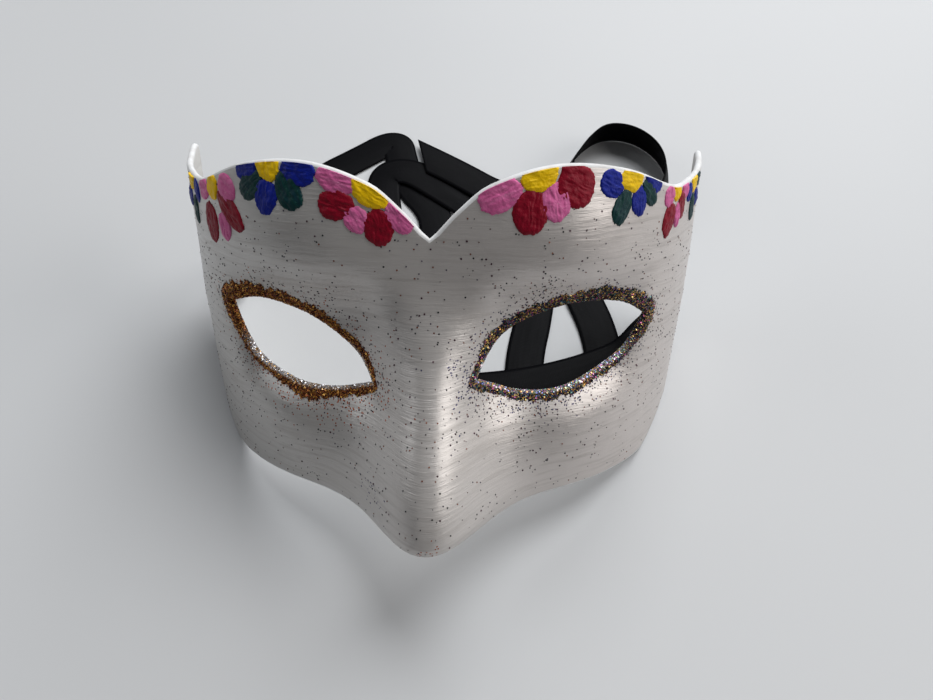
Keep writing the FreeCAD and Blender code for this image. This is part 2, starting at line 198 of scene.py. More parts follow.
class NodeDesk:
    """Places and joins the nodes of one node tree."""

    def __init__(self, tree: bpy.types.NodeTree) -> None:
        """Takes the tree that the nodes go into."""
        self.tree = tree

    def place(self, kind: str, inputs: dict | None = None, **settings: object) -> bpy.types.Node:
        """Adds a node.

        Args:
            kind: the node's type.
            inputs: values or output sockets by input name or number.
            settings: properties of the node.

        Returns:
            The node.
        """
        node = self.tree.nodes.new(kind)
        for name, value in settings.items():
            setattr(node, name, value)
        for name, value in (inputs or {}).items():
            if isinstance(value, bpy.types.NodeSocket):
                self.tree.links.new(value, node.inputs[name])
            else:
                node.inputs[name].default_value = value
        return node

    def sum(self, *values: object) -> bpy.types.NodeSocket:
        """Adds numbers or sockets."""
        total = values[0]
        for value in values[1:]:
            total = self.math("ADD", total, value)
        return total

    def math(self, operation: str, *values: object) -> bpy.types.NodeSocket:
        """One step of arithmetic on numbers or sockets."""
        node = self.place("ShaderNodeMath", dict(enumerate(values)), operation=operation)
        return node.outputs[0]

    def ramp(self, value: bpy.types.NodeSocket, stops: list,
             hard: bool = False) -> bpy.types.NodeSocket:
        """Colours by value.

        Args:
            value: the socket that is looked up.
            stops: (position, (r, g, b)) pairs.
            hard: steps between the colours, with no blend.

        Returns:
            The colour output.
        """
        node = self.place("ShaderNodeValToRGB", {0: value})
        elements = node.color_ramp.elements
        node.color_ramp.interpolation = "CONSTANT" if hard else "LINEAR"
        while len(elements) < len(stops):
            elements.new(0.5)
        for element, (position, colour) in zip(elements, stops):
            element.position = position
            element.color = (*colour, 1.0)
        return node.outputs["Color"]

    def mix(self, share: object, first: object, second: object,
            blend: str = "MIX") -> bpy.types.NodeSocket:
        """Mixes two colours.

        Args:
            share: how much of the second, as a number or socket.
            first: a colour as (r, g, b) or a socket.
            second: the same.
            blend: Blender's blend type.

        Returns:
            The colour output.
        """
        node = self.place("ShaderNodeMix", data_type="RGBA", blend_type=blend)
        for number, value in zip(MIX_INPUTS, (share, first, second)):
            socket = node.inputs[number]
            if isinstance(value, bpy.types.NodeSocket):
                self.tree.links.new(value, socket)
            elif isinstance(value, tuple):
                socket.default_value = (*value, 1.0)
            else:
                socket.default_value = value
        return node.outputs[MIX_OUTPUT]

    def noise(self, vector: bpy.types.NodeSocket, scale: float, detail: float = 2.0,
              rough: float = 0.5) -> bpy.types.NodeSocket:
        """Smooth noise from 0 to 1 at a vector."""
        node = self.place("ShaderNodeTexNoise",
                          {"Vector": vector, "Scale": scale, "Detail": detail, "Roughness": rough})
        return node.outputs["Fac"]

    def pick(self, value: bpy.types.NodeSocket, colours: tuple) -> bpy.types.NodeSocket:
        """One colour of several, in equal shares of a value from 0 to 1."""
        stops = [(i / len(colours), colour) for i, colour in enumerate(colours)]
        return self.ramp(value, stops, hard=True)

    def spread(self, value: bpy.types.NodeSocket, start: float, end: float, low: float = 0.0,
               high: object = 1.0) -> bpy.types.NodeSocket:
        """Carries values from start to end over to low to high, and no further.

        Args:
            value: the socket that is carried over.
            start: the value that becomes low.
            end: the value that becomes high.
            low: the least result.
            high: the greatest.

        Returns:
            The result's socket.
        """
        inputs = {"Value": value, "From Min": start, "From Max": end, "To Min": low, "To Max": high}
        return self.place("ShaderNodeMapRange", inputs).outputs[0]

    def effect(self, name: str, vector: bpy.types.NodeSocket, **settings: float) -> object:
        """Places a shared node group.

        Args:
            name: the group's name in Effects.
            vector: where it is read, in metres.
            settings: its other inputs, with _ for a space in a name.

        Returns:
            The group node's outputs, by name.
        """
        inputs = {label.replace("_", " "): value for label, value in settings.items()}
        node = self.place("ShaderNodeGroup", {"Vector": vector, **inputs},
                          node_tree=Effects.use(name))
        return node.outputs

    def uv_map(self, name: str) -> bpy.types.NodeSocket:
        """The piece's UV map of that name."""
        return self.place("ShaderNodeUVMap", uv_map=name).outputs[0]

    def attribute(self, name: str) -> bpy.types.NodeSocket:
        """The piece's attribute of that name, as a number."""
        return self.place("ShaderNodeAttribute", attribute_name=name).outputs["Fac"]

    def object_place(self) -> bpy.types.NodeSocket:
        """Object coordinates, in metres."""
        return self.place("ShaderNodeTexCoord").outputs["Object"]

    def link(self, value: bpy.types.NodeSocket, node: bpy.types.Node, name: str) -> None:
        """Feeds a node's input of that name."""
        self.tree.links.new(value, node.inputs[name])

    def triple(self, factor: float, value: bpy.types.NodeSocket) -> bpy.types.NodeSocket:
        """A vector whose three parts are all a factor times a value."""
        part = self.math("MULTIPLY", value, factor)
        return self.place("ShaderNodeCombineXYZ", {0: part, 1: part, 2: part}).outputs[0]

    def stretch(self, vector: bpy.types.NodeSocket, scale: tuple) -> bpy.types.NodeSocket:
        """A vector scaled along its axes."""
        return self.place("ShaderNodeMapping", {"Vector": vector, "Scale": scale}).outputs[0]


def new_group(name: str, inputs: list, outputs: list) -> tuple:
    """An empty shader node group.

    Args:
        name: the group's name.
        inputs: (name, socket type, default) for each input.
        outputs: (name, socket type) for each output.

    Returns:
        The group, its desk, and its input and output nodes.
    """
    group = bpy.data.node_groups.new(name, "ShaderNodeTree")
    for label, kind, default in inputs:
        socket = group.interface.new_socket(name=label, in_out="INPUT", socket_type=kind)
        if default is not None:
            socket.default_value = default
    for label, kind in outputs:
        group.interface.new_socket(name=label, in_out="OUTPUT", socket_type=kind)
    desk = NodeDesk(group)
    return group, desk, desk.place("NodeGroupInput"), desk.place("NodeGroupOutput")


class Effects:
    """The shader node groups that several finishes share, each built once."""

    made: dict = {}

    @classmethod
    def use(cls, name: str) -> bpy.types.NodeTree:
        """The group of that name, built if it isn't there yet."""
        if name not in cls.made:
            cls.made[name] = getattr(cls, name)()
        return cls.made[name]

    @staticmethod
    def brush_strokes() -> bpy.types.NodeTree:
        """Long ridges that a brush leaves along a stroke, as a height and a mask of thin paint.

        Returns:
            The group: its Vector is in metres, with x along the stroke.
        """
        group, desk, given, out = new_group(
            "brush_strokes",
            [("Vector", "NodeSocketVector", None), ("Bristles per mm", "NodeSocketFloat", 2.0),
             ("Sway", "NodeSocketFloat", 0.3)],
            [("Height", "NodeSocketFloat"), ("Thin", "NodeSocketFloat")])
        vector = given.outputs["Vector"]
        sway = desk.place("ShaderNodeTexNoise", {"Vector": vector, "Scale": 60.0, "Detail": 1.0})
        swing = desk.place("ShaderNodeVectorMath", {0: sway.outputs["Color"], 1: (0.5, 0.5, 0.5)},
                           operation="SUBTRACT")
        reach = desk.math("MULTIPLY", given.outputs["Sway"], 0.01)
        pushed = desk.place("ShaderNodeVectorMath", {0: swing.outputs[0], "Scale": reach},
                            operation="SCALE")
        bent = desk.place("ShaderNodeVectorMath", {0: vector, 1: pushed.outputs[0]},
                          operation="ADD")
        drawn = desk.stretch(bent.outputs[0], (0.045, 1.0, 1.0))
        bristles = desk.math("MULTIPLY", given.outputs["Bristles per mm"], 1000.0)
        fine = desk.place("ShaderNodeTexNoise", {"Vector": drawn, "Scale": bristles, "Detail": 2.0,
                                                 "Roughness": 0.6})
        broad = desk.place("ShaderNodeTexNoise",
                           {"Vector": drawn, "Scale": desk.math("MULTIPLY", bristles, 0.22),
                            "Detail": 2.0})
        height = desk.sum(desk.math("MULTIPLY", fine.outputs["Fac"], 0.55),
                          desk.math("MULTIPLY", broad.outputs["Fac"], 0.9))
        desk.link(height, out, "Height")
        desk.link(desk.spread(broad.outputs["Fac"], 0.5, 0.72), out, "Thin")
        return group

    @staticmethod
    def cloth_weave() -> bpy.types.NodeTree:
        """Crossing threads of a woven cloth, as a height.

        Returns:
            The group: its Vector is in metres, with x across the cloth.
        """
        group, desk, given, out = new_group(
            "cloth_weave",
            [("Vector", "NodeSocketVector", None), ("Threads per mm", "NodeSocketFloat", 3.0),
             ("Warp share", "NodeSocketFloat", 0.3)],
            [("Height", "NodeSocketFloat"), ("Slub", "NodeSocketFloat")])
        vector = given.outputs["Vector"]
        scale = desk.math("MULTIPLY", given.outputs["Threads per mm"], 500.0 / math.pi)
        across, along = (desk.place("ShaderNodeTexWave",
                                    {"Vector": vector, "Scale": scale, "Distortion": distortion},
                                    bands_direction=axis).outputs["Fac"]
                         for axis, distortion in (("X", 0.4), ("Y", 0.6)))
        warp = desk.math("MULTIPLY", across, given.outputs["Warp share"])
        slub = desk.noise(desk.stretch(vector, (1.0, 0.08, 1.0)), 900.0, 3.0)
        desk.link(desk.sum(along, warp), out, "Height")
        desk.link(slub, out, "Slub")
        return group


def new_material(name: str) -> tuple:
    """A material with its Principled BSDF.

    Args:
        name: the material's name.

    Returns:
        The material, its desk and the Principled BSDF.
    """
    material = bpy.data.materials.new(name)
    material.use_nodes = True
    shader = material.node_tree.nodes["Principled BSDF"]
    return material, NodeDesk(material.node_tree), shader


def set_shader(shader: bpy.types.Node, **values: float) -> None:
    """Sets plain values on the shader's own sockets, with _ for a space in a name."""
    for name, value in values.items():
        shader.inputs[name.replace("_", " ")].default_value = value


def bump(desk: NodeDesk, shader: bpy.types.Node, height: bpy.types.NodeSocket, strength: float,
         distance: float, under: bpy.types.NodeSocket | None = None) -> bpy.types.NodeSocket:
    """Feeds a height to the shader's normal.

    Args:
        desk: the material's desk.
        shader: its Principled BSDF.
        height: the height, where 1 stands for distance.
        strength: from 0 to 1.
        distance: in metres.
        under: the normal of a coarser bump below this one.

    Returns:
        The bump's normal.
    """
    inputs = {"Height": height, "Strength": strength, "Distance": distance}
    if under is not None:
        inputs["Normal"] = under
    node = desk.place("ShaderNodeBump", inputs)
    desk.tree.links.new(node.outputs[0], shader.inputs["Normal"])
    return node.outputs[0]


# ---- finishes ------------------------------------------------------------------------------


@dataclass(frozen=True)
class PearlFinish:
    """Pearly white paint, brushed on sideways, dusty with glitter near the eye openings; painted
    light makes it lighter and warmer to the right and darker and cooler to the left, and rust
    grains paint shade on the nose tip.
    """

    name: str = "pearl_paint"
    # painted light and shade: the darker, cooler tone of the left side and the lighter, warmer tone
    # of the right side
    painted_shade_left: tuple = (0.56, 0.545, 0.525)
    painted_light_right: tuple = (0.70, 0.645, 0.615)
    clouded: tuple = (0.52, 0.485, 0.46)
    thin: tuple = (0.42, 0.385, 0.36)
    rust: tuple = (0.36, 0.08, 0.02)
    violet: tuple = (0.045, 0.04, 0.12)
    bristles: float = 3.6
    sway: float = 0.25
    grain_scale: float = 1500.0
    grain_radius: float = 0.36
    grain_share: float = 0.85

    def make(self) -> bpy.types.Material:
        """Builds the material on the piece's strokes map and dust attributes."""
        material, desk, shader = new_material(self.name)
        strokes = desk.uv_map("strokes")
        brushed = desk.effect("brush_strokes", strokes, Bristles_per_mm=self.bristles,
                              Sway=self.sway)
        across = desk.place("ShaderNodeSeparateXYZ", {0: strokes}).outputs[0]
        # painted light: lighter and warmer towards the right side, darker and cooler towards the
        # left
        base = desk.mix(desk.spread(across, -0.05, 0.05), self.painted_shade_left, self.painted_light_right)
        cloud = desk.noise(strokes, 30.0, 3.0)
        base = desk.mix(desk.math("MULTIPLY", cloud, 0.35), base, self.clouded)
        base = desk.mix(desk.math("MULTIPLY", brushed["Thin"], 0.40), base, self.thin)
        # the rust grains are real glitter dust, and also painted shade on the nose tip
        base = self.dusted(desk, base, strokes, "rust_dust_and_shade", self.rust, 0.0)
        base = self.dusted(desk, base, strokes, "violet_dust", self.violet, 4.0)
        desk.link(base, shader, "Base Color")
        desk.link(desk.spread(brushed["Height"], 0.4, 1.0, 0.30, 0.46), shader, "Roughness")
        set_shader(shader, Metallic=0.46, Specular_IOR_Level=0.6, Coat_Weight=0.12,
                   Coat_Roughness=0.25)
        lumps = bump(desk, shader, desk.noise(strokes, 150.0, 3.0), 0.3, 0.0004)
        bump(desk, shader, brushed["Height"], 0.9, 0.00016, lumps)
        return material

    def dusted(self, desk: NodeDesk, base: bpy.types.NodeSocket, strokes: bpy.types.NodeSocket,
               attribute: str, colour: tuple, shift: float) -> bpy.types.NodeSocket:
        """Strews grains of the finest glitter over a colour.

        Args:
            desk: the material's desk.
            base: the colour under them.
            strokes: the strokes map.
            attribute: the attribute that says how thickly they lie.
            colour: their colour.
            shift: how far the map is moved, so that two kinds don't coincide.

        Returns:
            The colour with the grains on it.
        """
        moved = desk.place("ShaderNodeMapping",
                           {"Vector": strokes, "Location": (shift, shift, 0.0)}).outputs[0]
        grains = desk.place("ShaderNodeTexVoronoi", {"Vector": moved, "Scale": self.grain_scale})
        near = desk.math("LESS_THAN", grains.outputs["Distance"], self.grain_radius)
        share = desk.math("MULTIPLY", desk.attribute(attribute), self.grain_share)
        kept = desk.math("LESS_THAN", grains.outputs["Color"], share)
        return desk.mix(desk.math("MULTIPLY", near, kept), base, colour)


@dataclass(frozen=True)
class RimFinish:
    """The bare white paint along every edge of the shell."""

    name: str = "rim_white"
    worn: tuple = (0.74, 0.73, 0.72)
    clean: tuple = (0.86, 0.86, 0.865)

    def make(self) -> bpy.types.Material:
        """Builds the material on Object coordinates."""
        material, desk, shader = new_material(self.name)
        place = desk.object_place()
        colour = desk.ramp(desk.noise(place, 260.0, 3.0), [(0.35, self.worn), (0.6, self.clean)])
        desk.link(colour, shader, "Base Color")
        set_shader(shader, Roughness=0.5, Specular_IOR_Level=0.4)
        bump(desk, shader, desk.noise(place, 500.0, 3.0), 0.5, 0.00015)
        return material


@dataclass(frozen=True)
class GessoFinish:
    """The bare white primer inside the shell, over layered paper."""

    name: str = "gesso_inside"
    shade: tuple = (0.66, 0.645, 0.62)
    light: tuple = (0.76, 0.75, 0.73)

    def make(self) -> bpy.types.Material:
        """Builds the material on Object coordinates."""
        material, desk, shader = new_material(self.name)
        place = desk.object_place()
        torn = desk.place("ShaderNodeTexVoronoi", {"Vector": place, "Scale": 55.0},
                          feature="DISTANCE_TO_EDGE")
        seams = desk.spread(torn.outputs["Distance"], 0.0, 0.06)
        fibre = desk.noise(place, 700.0, 4.0, 0.65)
        colour = desk.ramp(desk.noise(place, 40.0, 3.0), [(0.3, self.shade), (0.7, self.light)])
        desk.link(colour, shader, "Base Color")
        set_shader(shader, Roughness=0.85, Specular_IOR_Level=0.25)
        steps = bump(desk, shader, seams, 0.4, 0.00012)
        bump(desk, shader, fibre, 0.5, 0.00012, steps)
        return material


@dataclass(frozen=True)
class AcrylicFinish:
    """Thick artists' acrylic, streaked where the brush mixed it."""

    name: str
    body: tuple
    streak: tuple
    fleck: tuple
    streak_share: float = 0.45
    bristles: float = 1.9
    sway: float = 0.8

    def make(self) -> bpy.types.Material:
        """Builds the material on the piece's strokes map."""
        material, desk, shader = new_material(self.name)
        strokes = desk.uv_map("strokes")
        brushed = desk.effect("brush_strokes", strokes, Bristles_per_mm=self.bristles,
                              Sway=self.sway)
        drawn = desk.noise(desk.stretch(strokes, (0.12, 1.0, 1.0)), 950.0, 3.0)
        streaks = desk.spread(drawn, 0.42, 0.68, high=self.streak_share)
        colour = desk.mix(streaks, self.body, self.streak)
        flecks = desk.spread(desk.noise(strokes, 1500.0, 2.0), 0.66, 0.74)
        desk.link(desk.mix(flecks, colour, self.fleck), shader, "Base Color")
        set_shader(shader, Roughness=0.45, Specular_IOR_Level=0.2)
        dabs = bump(desk, shader, desk.noise(strokes, 620.0, 3.0, 0.6), 0.7, 0.0004)
        bump(desk, shader, brushed["Height"], 0.7, 0.0002, dabs)
        return material


@dataclass(frozen=True)
class FlakeFinish:
    """Cut film glitter: each flake has one colour of a set, or, as a painted glint, one colour of a
    brighter set.
    """

    name: str
    colours: tuple
    glint_colours: tuple
    metallic: float = 0.7
    roughness: float = 0.26
    dark: tuple = (0.02, 0.02, 0.02)

    def make(self) -> bpy.types.Material:
        """Builds the material on the flakes' tint and painted-glint attributes."""
        material, desk, shader = new_material(self.name)
        tint = desk.attribute("tint")
        picked = [desk.pick(tint, colours) for colours in (self.colours, self.glint_colours)]
        # painted glint: flakes marked for it take the brighter set
        colour = desk.mix(desk.attribute("painted_glint"), *picked)
        worn = desk.math("MULTIPLY", desk.noise(desk.object_place(), 2500.0, 1.0), 0.35)
        desk.link(desk.mix(worn, colour, self.dark), shader, "Base Color")
        set_shader(shader, Metallic=self.metallic, Roughness=self.roughness)
        return material


@dataclass(frozen=True)
class GlueFinish:
    """The glue bed under the glitter, packed with the finest flakes."""

    name: str
    colours: tuple

    def make(self) -> bpy.types.Material:
        """Builds the material on Object coordinates."""
        material, desk, shader = new_material(self.name)
        grains = desk.place("ShaderNodeTexVoronoi",
                            {"Vector": desk.object_place(), "Scale": 2600.0})
        desk.link(desk.pick(grains.outputs["Color"], self.colours), shader, "Base Color")
        set_shader(shader, Metallic=0.4, Roughness=0.4)
        bump(desk, shader, grains.outputs["Distance"], 0.9, 0.0002)
        return material


@dataclass(frozen=True)
class SatinFinish:
    """Black satin: long floats across fine threads, with a woven edge."""

    name: str = "black_satin"
    colour: tuple = (0.003, 0.003, 0.004)
    slubbed: tuple = (0.0022, 0.0022, 0.0030)
    threads: float = 3.2
    warp: float = 0.25

    def make(self) -> bpy.types.Material:
        """Builds the material on the ribbon's own map."""
        material, desk, shader = new_material(self.name)
        weave = desk.effect("cloth_weave", desk.uv_map("cloth"), Threads_per_mm=self.threads,
                            Warp_share=self.warp)
        shade = desk.ramp(weave["Slub"], [(0.3, self.colour), (0.75, self.slubbed)])
        desk.link(shade, shader, "Base Color")
        desk.link(desk.spread(weave["Slub"], 0.0, 1.0, 0.40, 0.55), shader, "Roughness")
        set_shader(shader, Specular_IOR_Level=0.05)
        bump(desk, shader, weave["Height"], 0.35, 0.00005)
        return material


@dataclass(frozen=True)
class ClothFinish:
    """The dull black cloth of the glued patches."""

    name: str = "patch_cloth"
    dark: tuple = (0.02, 0.02, 0.022)
    worn: tuple = (0.06, 0.06, 0.062)
    threads: float = 1.6
    warp: float = 1.0

    def make(self) -> bpy.types.Material:
        """Builds the material on the patch's own map."""
        material, desk, shader = new_material(self.name)
        weave = desk.effect("cloth_weave", desk.uv_map("cloth"), Threads_per_mm=self.threads,
                            Warp_share=self.warp)
        desk.link(desk.ramp(weave["Slub"], [(0.3, self.dark), (0.8, self.worn)]), shader,
                  "Base Color")
        set_shader(shader, Roughness=0.9, Sheen_Weight=0.3)
        bump(desk, shader, weave["Height"], 0.8, 0.00018)
        return material


# ---- the studio ----------------------------------------------------------------------------


@dataclass(frozen=True)
class Lamp:
    """One soft round lamp, turned towards the mask."""

    name: str
    place: tuple
    size: float
    power: float
    colour: tuple


LAMPS = (Lamp("window", (0.50, 1.05, 1.35), 1.5, 33.0, (0.965, 0.985, 1.0)),
         Lamp("side_window", (1.25, -0.1, 0.75), 0.9, 6.5, (1.0, 0.975, 0.95)),
         Lamp("left_window", (-1.2, 0.25, 0.7), 0.9, 2.6, (0.95, 0.975, 1.0)),
         Lamp("fill", (-0.3, -1.2, 0.7), 1.4, 0.5, (1.0, 0.98, 0.96)))


@dataclass
class Studio:
    """The camera, the floor, the lamps and the light of the room."""

    lens: float = 26.0
    eye: tuple = (0.0140, -0.1049, 0.2195)
    look: tuple = (-0.0227, 0.4847, -0.8744)
    right: tuple = (0.9995, 0.0293, -0.0097)
    floor_half: float = 3.0
    target: tuple = (0.0, 0.03, 0.03)
    room_colour: tuple = (0.80, 0.83, 0.88)
    room_light: float = 0.07

    def build(self) -> None:
        """Makes the camera first, then the floor and the lights."""
        self.place_camera()
        self.lay_floor()
        self.hang_lights()

    def place_camera(self) -> None:
        """A hand-held view from above and in front, a little to the right."""
        data = bpy.data.cameras.new("camera")
        data.lens = self.lens
        data.clip_start = 0.01
        camera = bpy.data.objects.new("camera", data)
        look = Vector(self.look).normalized()
        right = Vector(self.right)
        right = (right - look * right.dot(look)).normalized()
        up = right.cross(look)
        rows = [(right[i], up[i], -look[i], self.eye[i]) for i in range(3)]
        camera.matrix_world = Matrix((*rows, (0.0, 0.0, 0.0, 1.0)))
        bpy.context.scene.collection.objects.link(camera)
        bpy.context.scene.camera = camera

    def lay_floor(self) -> None:
        """A matt pale table top."""
        half = self.floor_half
        corners = [(-half, -half, 0), (half, -half, 0), (half, half, 0), (-half, half, 0)]
        floor = new_object("floor", corners, [(0, 1, 2, 3)])
        material, desk, shader = new_material("table_top")
        shade = desk.ramp(desk.noise(desk.object_place(), 3.0),
                          [(0.3, (0.62, 0.625, 0.635)), (0.7, (0.66, 0.663, 0.67))])
        desk.link(shade, shader, "Base Color")
        set_shader(shader, Roughness=0.55, Specular_IOR_Level=0.3)
        floor.data.materials.append(material)

    def hang_lights(self) -> None:
        """A wide soft window behind, a weaker one at each side and a weak fill from the front."""
        for lamp in LAMPS:
            data = bpy.data.lights.new(lamp.name, "AREA")
            data.shape = "DISK"
            data.size = lamp.size
            data.energy = lamp.power
            data.color = lamp.colour
            hung = bpy.data.objects.new(lamp.name, data)
            hung.location = lamp.place
            towards = Vector(self.target) - Vector(lamp.place)
            hung.rotation_euler = towards.to_track_quat("-Z", "Y").to_euler()
            bpy.context.scene.collection.objects.link(hung)
        world = bpy.data.worlds.new("room")
        world.use_nodes = True
        back = world.node_tree.nodes["Background"]
        back.inputs["Color"].default_value = (*self.room_colour, 1.0)
        back.inputs["Strength"].default_value = self.room_light
        bpy.context.scene.world = world
        bpy.context.scene.view_settings.view_transform = "Standard"


# ---- the ribbons ---------------------------------------------------------------------------


class Lay(Enum):
    """How a ribbon's width stands at a point of its route."""

    FLAT = "flat"
    LEANING = "leaning inwards"
    WALL_RIGHT = "against the right wing"
    WALL_LEFT = "against the left wing"


RIGHT_LENGTH = 0.414
LEFT_LENGTH = 0.468
TABLE_GAP = 0.00015      # how far over the table the lowest side of a ribbon stays


@dataclass
class SatinRibbon:
    """A flat satin tie along its route, with a slanting cut at its free end."""

    side: str
    route: list
    lays: list
    length: float
    width: float = 0.014
    thick: float = 0.0004
    across: int = 10
    slant: float = 1.0
    cut_reach: float = 0.012
    bead: float = 0.5
    crown: float = 0.00035
    unevenness: float = 0.0003
    smoothings: int = 4

    @staticmethod
    def heading(line: list, i: int) -> Vector:
        """The way ahead at a point of the middle line."""
        return (line[min(i + 1, len(line) - 1)] - line[max(i - 1, 0)]).normalized()

    def middle_line(self) -> list:
        """Points along a smooth spline whose control points are the route's."""
        curve = bpy.data.curves.new("route", "CURVE")
        curve.dimensions = "3D"
        curve.resolution_u = 18
        spline = curve.splines.new("NURBS")
        spline.points.add(len(self.route) - 1)
        for point, place in zip(spline.points, self.route):
            point.co = (*place, 1.0)
        spline.order_u = 3
        spline.use_endpoint_u = True
        holder = bpy.data.objects.new("route", curve)
        bpy.context.scene.collection.objects.link(holder)
        mesh = bpy.data.meshes.new_from_object(holder)
        line = [v.co.copy() for v in mesh.vertices]
        bpy.data.objects.remove(holder)
        bpy.data.meshes.remove(mesh)
        bpy.data.curves.remove(curve)
        return line

    def width_ways(self, line: list) -> list:
        """The direction across the ribbon at each point of its middle line.

        Args:
            line: the middle line.

        Returns:
            Unit vectors square to the line.
        """
        nearest, start = [], 0
        for place in self.route:
            target = Vector(place)
            spot = min(range(start, len(line)), key=lambda i: (line[i] - target).length)
            nearest.append(spot)
            start = spot
        nearest[0], nearest[-1] = 0, len(line) - 1
        ways, last = [], None
        for i in range(len(line)):
            ahead = self.heading(line, i)
            level = ahead.cross(UP)
            level = level.normalized() if level.length > 1e-6 else Vector((1, 0, 0))
            k = max(j for j, spot in enumerate(nearest) if spot <= i)
            k = min(k, len(nearest) - 2)
            share = ease(i, nearest[k], max(nearest[k + 1], nearest[k] + 1))
            hints = [self.hint(lay, level) for lay in (self.lays[k], self.lays[k + 1])]
            if hints[0].dot(hints[1]) < 0 and last is not None:
                hints = [h if h.dot(last) >= 0 else -h for h in hints]
            way = hints[0].lerp(hints[1], share)
            way = way - ahead * way.dot(ahead)
            way.normalize()
            if last is not None and way.dot(last) < 0:
                way = -way
            ways.append(way)
            last = way
        for _ in range(self.smoothings):
            before, after = [ways[0], *ways[:-1]], [*ways[1:], ways[-1]]
            ways = [(a + b * 2 + c).normalized() for a, b, c in zip(before, ways, after)]
        return ways

    @staticmethod
    def hint(lay: Lay, level: Vector) -> Vector:
        """The direction across the ribbon that a lay asks for."""
        ways = {Lay.FLAT: level, Lay.LEANING: UP - level * 0.3,
                Lay.WALL_RIGHT: Vector((0.0, 1.0, -0.25)),
                Lay.WALL_LEFT: Vector((0.0, -0.8, -0.6))}
        return ways[lay].normalized()

    def build(self, satin: bpy.types.Material) -> None:
        """Args:
            satin: the ribbon's material.
        """
        line = self.middle_line()
        ways = self.width_ways(line)
        walked = lengths_along(line)
        section = []
        for k in range(self.across + 1):
            u = k / self.across * 2 - 1
            bead = 1.0 + self.bead * ease(abs(u), 0.86, 0.95)
            section.append((u, bead * self.thick / 2))
        section += [(u, -h) for u, h in reversed(section)]
        points, maps = [], []
        for i, (point, way) in enumerate(zip(line, ways)):
            ahead = self.heading(line, i)
            normal = way.cross(ahead).normalized()
            to_end = walked[-1] - walked[i]
            ring = []
            for u, h in section:
                curl = (self.crown * (1 - u * u)
                        + self.unevenness * ripple(walked[i] * 45, u * 0.7, 3.1))
                slide = self.slant * self.width / 2 * u * ease(-to_end, -self.cut_reach, 0.0)
                place = point + way * (u * self.width / 2) + normal * (h + curl) + ahead * slide
                ring.append(place)
                maps.append((u * self.width / 2, walked[i]))
            rise = max(0.0, TABLE_GAP - min(place.z for place in ring))
            points += [place + UP * rise for place in ring]
        ring = len(section)
        faces = []
        for i in range(len(line) - 1):
            for k in range(ring):
                a, b = i * ring + k, i * ring + (k + 1) % ring
                faces.append((a, b, b + ring, a + ring))
        faces.append(tuple(reversed(range(ring))))
        faces.append(tuple(range((len(line) - 1) * ring, len(line) * ring)))
        name = "ribbon_tie_" + self.side
        piece = new_object(name, points, faces)
        give_uv(piece, "cloth", maps)
        piece.data.materials.append(satin)
        seat_piece(piece, "ribbon_satin", "ribbon_" + self.side)


def right_ribbon() -> SatinRibbon:
    """The tie from the right wing: over the other's strands, then a standing loop behind."""
    flat, lean, wall = Lay.FLAT, Lay.LEANING, Lay.WALL_RIGHT
    route = [(0.0804, 0.0345, 0.0194), (0.0782, 0.0295, 0.0110), (0.0700, 0.0150, 0.0036),
             (0.0510, 0.0072, 0.0024), (0.0360, 0.0028, 0.0024), (0.0205, 0.0000, 0.0020),
             (0.0040, -0.0010, 0.0008), (-0.0090, 0.0050, 0.0006), (-0.0155, 0.0190, 0.0006),
             (-0.0150, 0.0355, 0.0006), (-0.0040, 0.0495, 0.0006), (0.0160, 0.0545, 0.0006),
             (0.0400, 0.0555, 0.0006), (0.0640, 0.0645, 0.0030), (0.0810, 0.0780, 0.0064),
             (0.0905, 0.0930, 0.0070), (0.0895, 0.1105, 0.0070), (0.0795, 0.1225, 0.0070),
             (0.0655, 0.1243, 0.0070), (0.0560, 0.1150, 0.0070), (0.0495, 0.1035, 0.0070),
             (0.0435, 0.0920, 0.0050), (0.0330, 0.0860, 0.0030), (0.0170, 0.0920, 0.0026),
             (0.0056, 0.1000, 0.0026), (-0.0045, 0.1065, 0.0026), (-0.0140, 0.1122, 0.0026)]
    lays = [wall, wall] + [flat] * 12 + [lean] * 7 + [flat] * 6
    return SatinRibbon("right", route, lays, RIGHT_LENGTH)


def left_ribbon() -> SatinRibbon:
    """The tie from the left wing: folded behind the notch, then round under the face."""
    flat, wall = Lay.FLAT, Lay.WALL_LEFT
    route = [(-0.0805, 0.0345, 0.0204), (-0.0798, 0.0425, 0.0106), (-0.0780, 0.0545, 0.0040),
             (-0.0720, 0.0765, 0.0006), (-0.0575, 0.1000, 0.0006), (-0.0430, 0.1110, 0.0006),
             (-0.0260, 0.1245, 0.0006), (-0.0228, 0.1100, 0.0006), (-0.0180, 0.0955, 0.0006),
             (-0.0062, 0.0815, 0.0006), (-0.0055, 0.0660, 0.0006), (-0.0150, 0.0560, 0.0006),
             (-0.0240, 0.0610, 0.0006), (-0.0262, 0.0740, 0.0006), (-0.0290, 0.0885, 0.0008),
             (-0.0300, 0.1025, 0.0014), (-0.0195, 0.1050, 0.0018), (-0.0050, 0.0945, 0.0018),
             (0.0090, 0.0845, 0.0010), (0.0240, 0.0750, 0.0010), (0.0400, 0.0635, 0.0020),
             (0.0500, 0.0545, 0.0020), (0.0515, 0.0435, 0.0010), (0.0575, 0.0275, 0.0006),
             (0.0595, 0.0105, 0.0006), (0.0540, -0.0035, 0.0006), (0.0400, -0.0085, 0.0006),
             (0.0290, 0.0005, 0.0006), (0.0300, 0.0155, 0.0006), (0.0335, 0.0305, 0.0006),
             (0.0352, 0.0440, 0.0006)]
    lays = [wall, wall] + [flat] * 29
    return SatinRibbon("left", route, lays, LEFT_LENGTH)


# ---- the mask's shape ----------------------------------------------------------------------


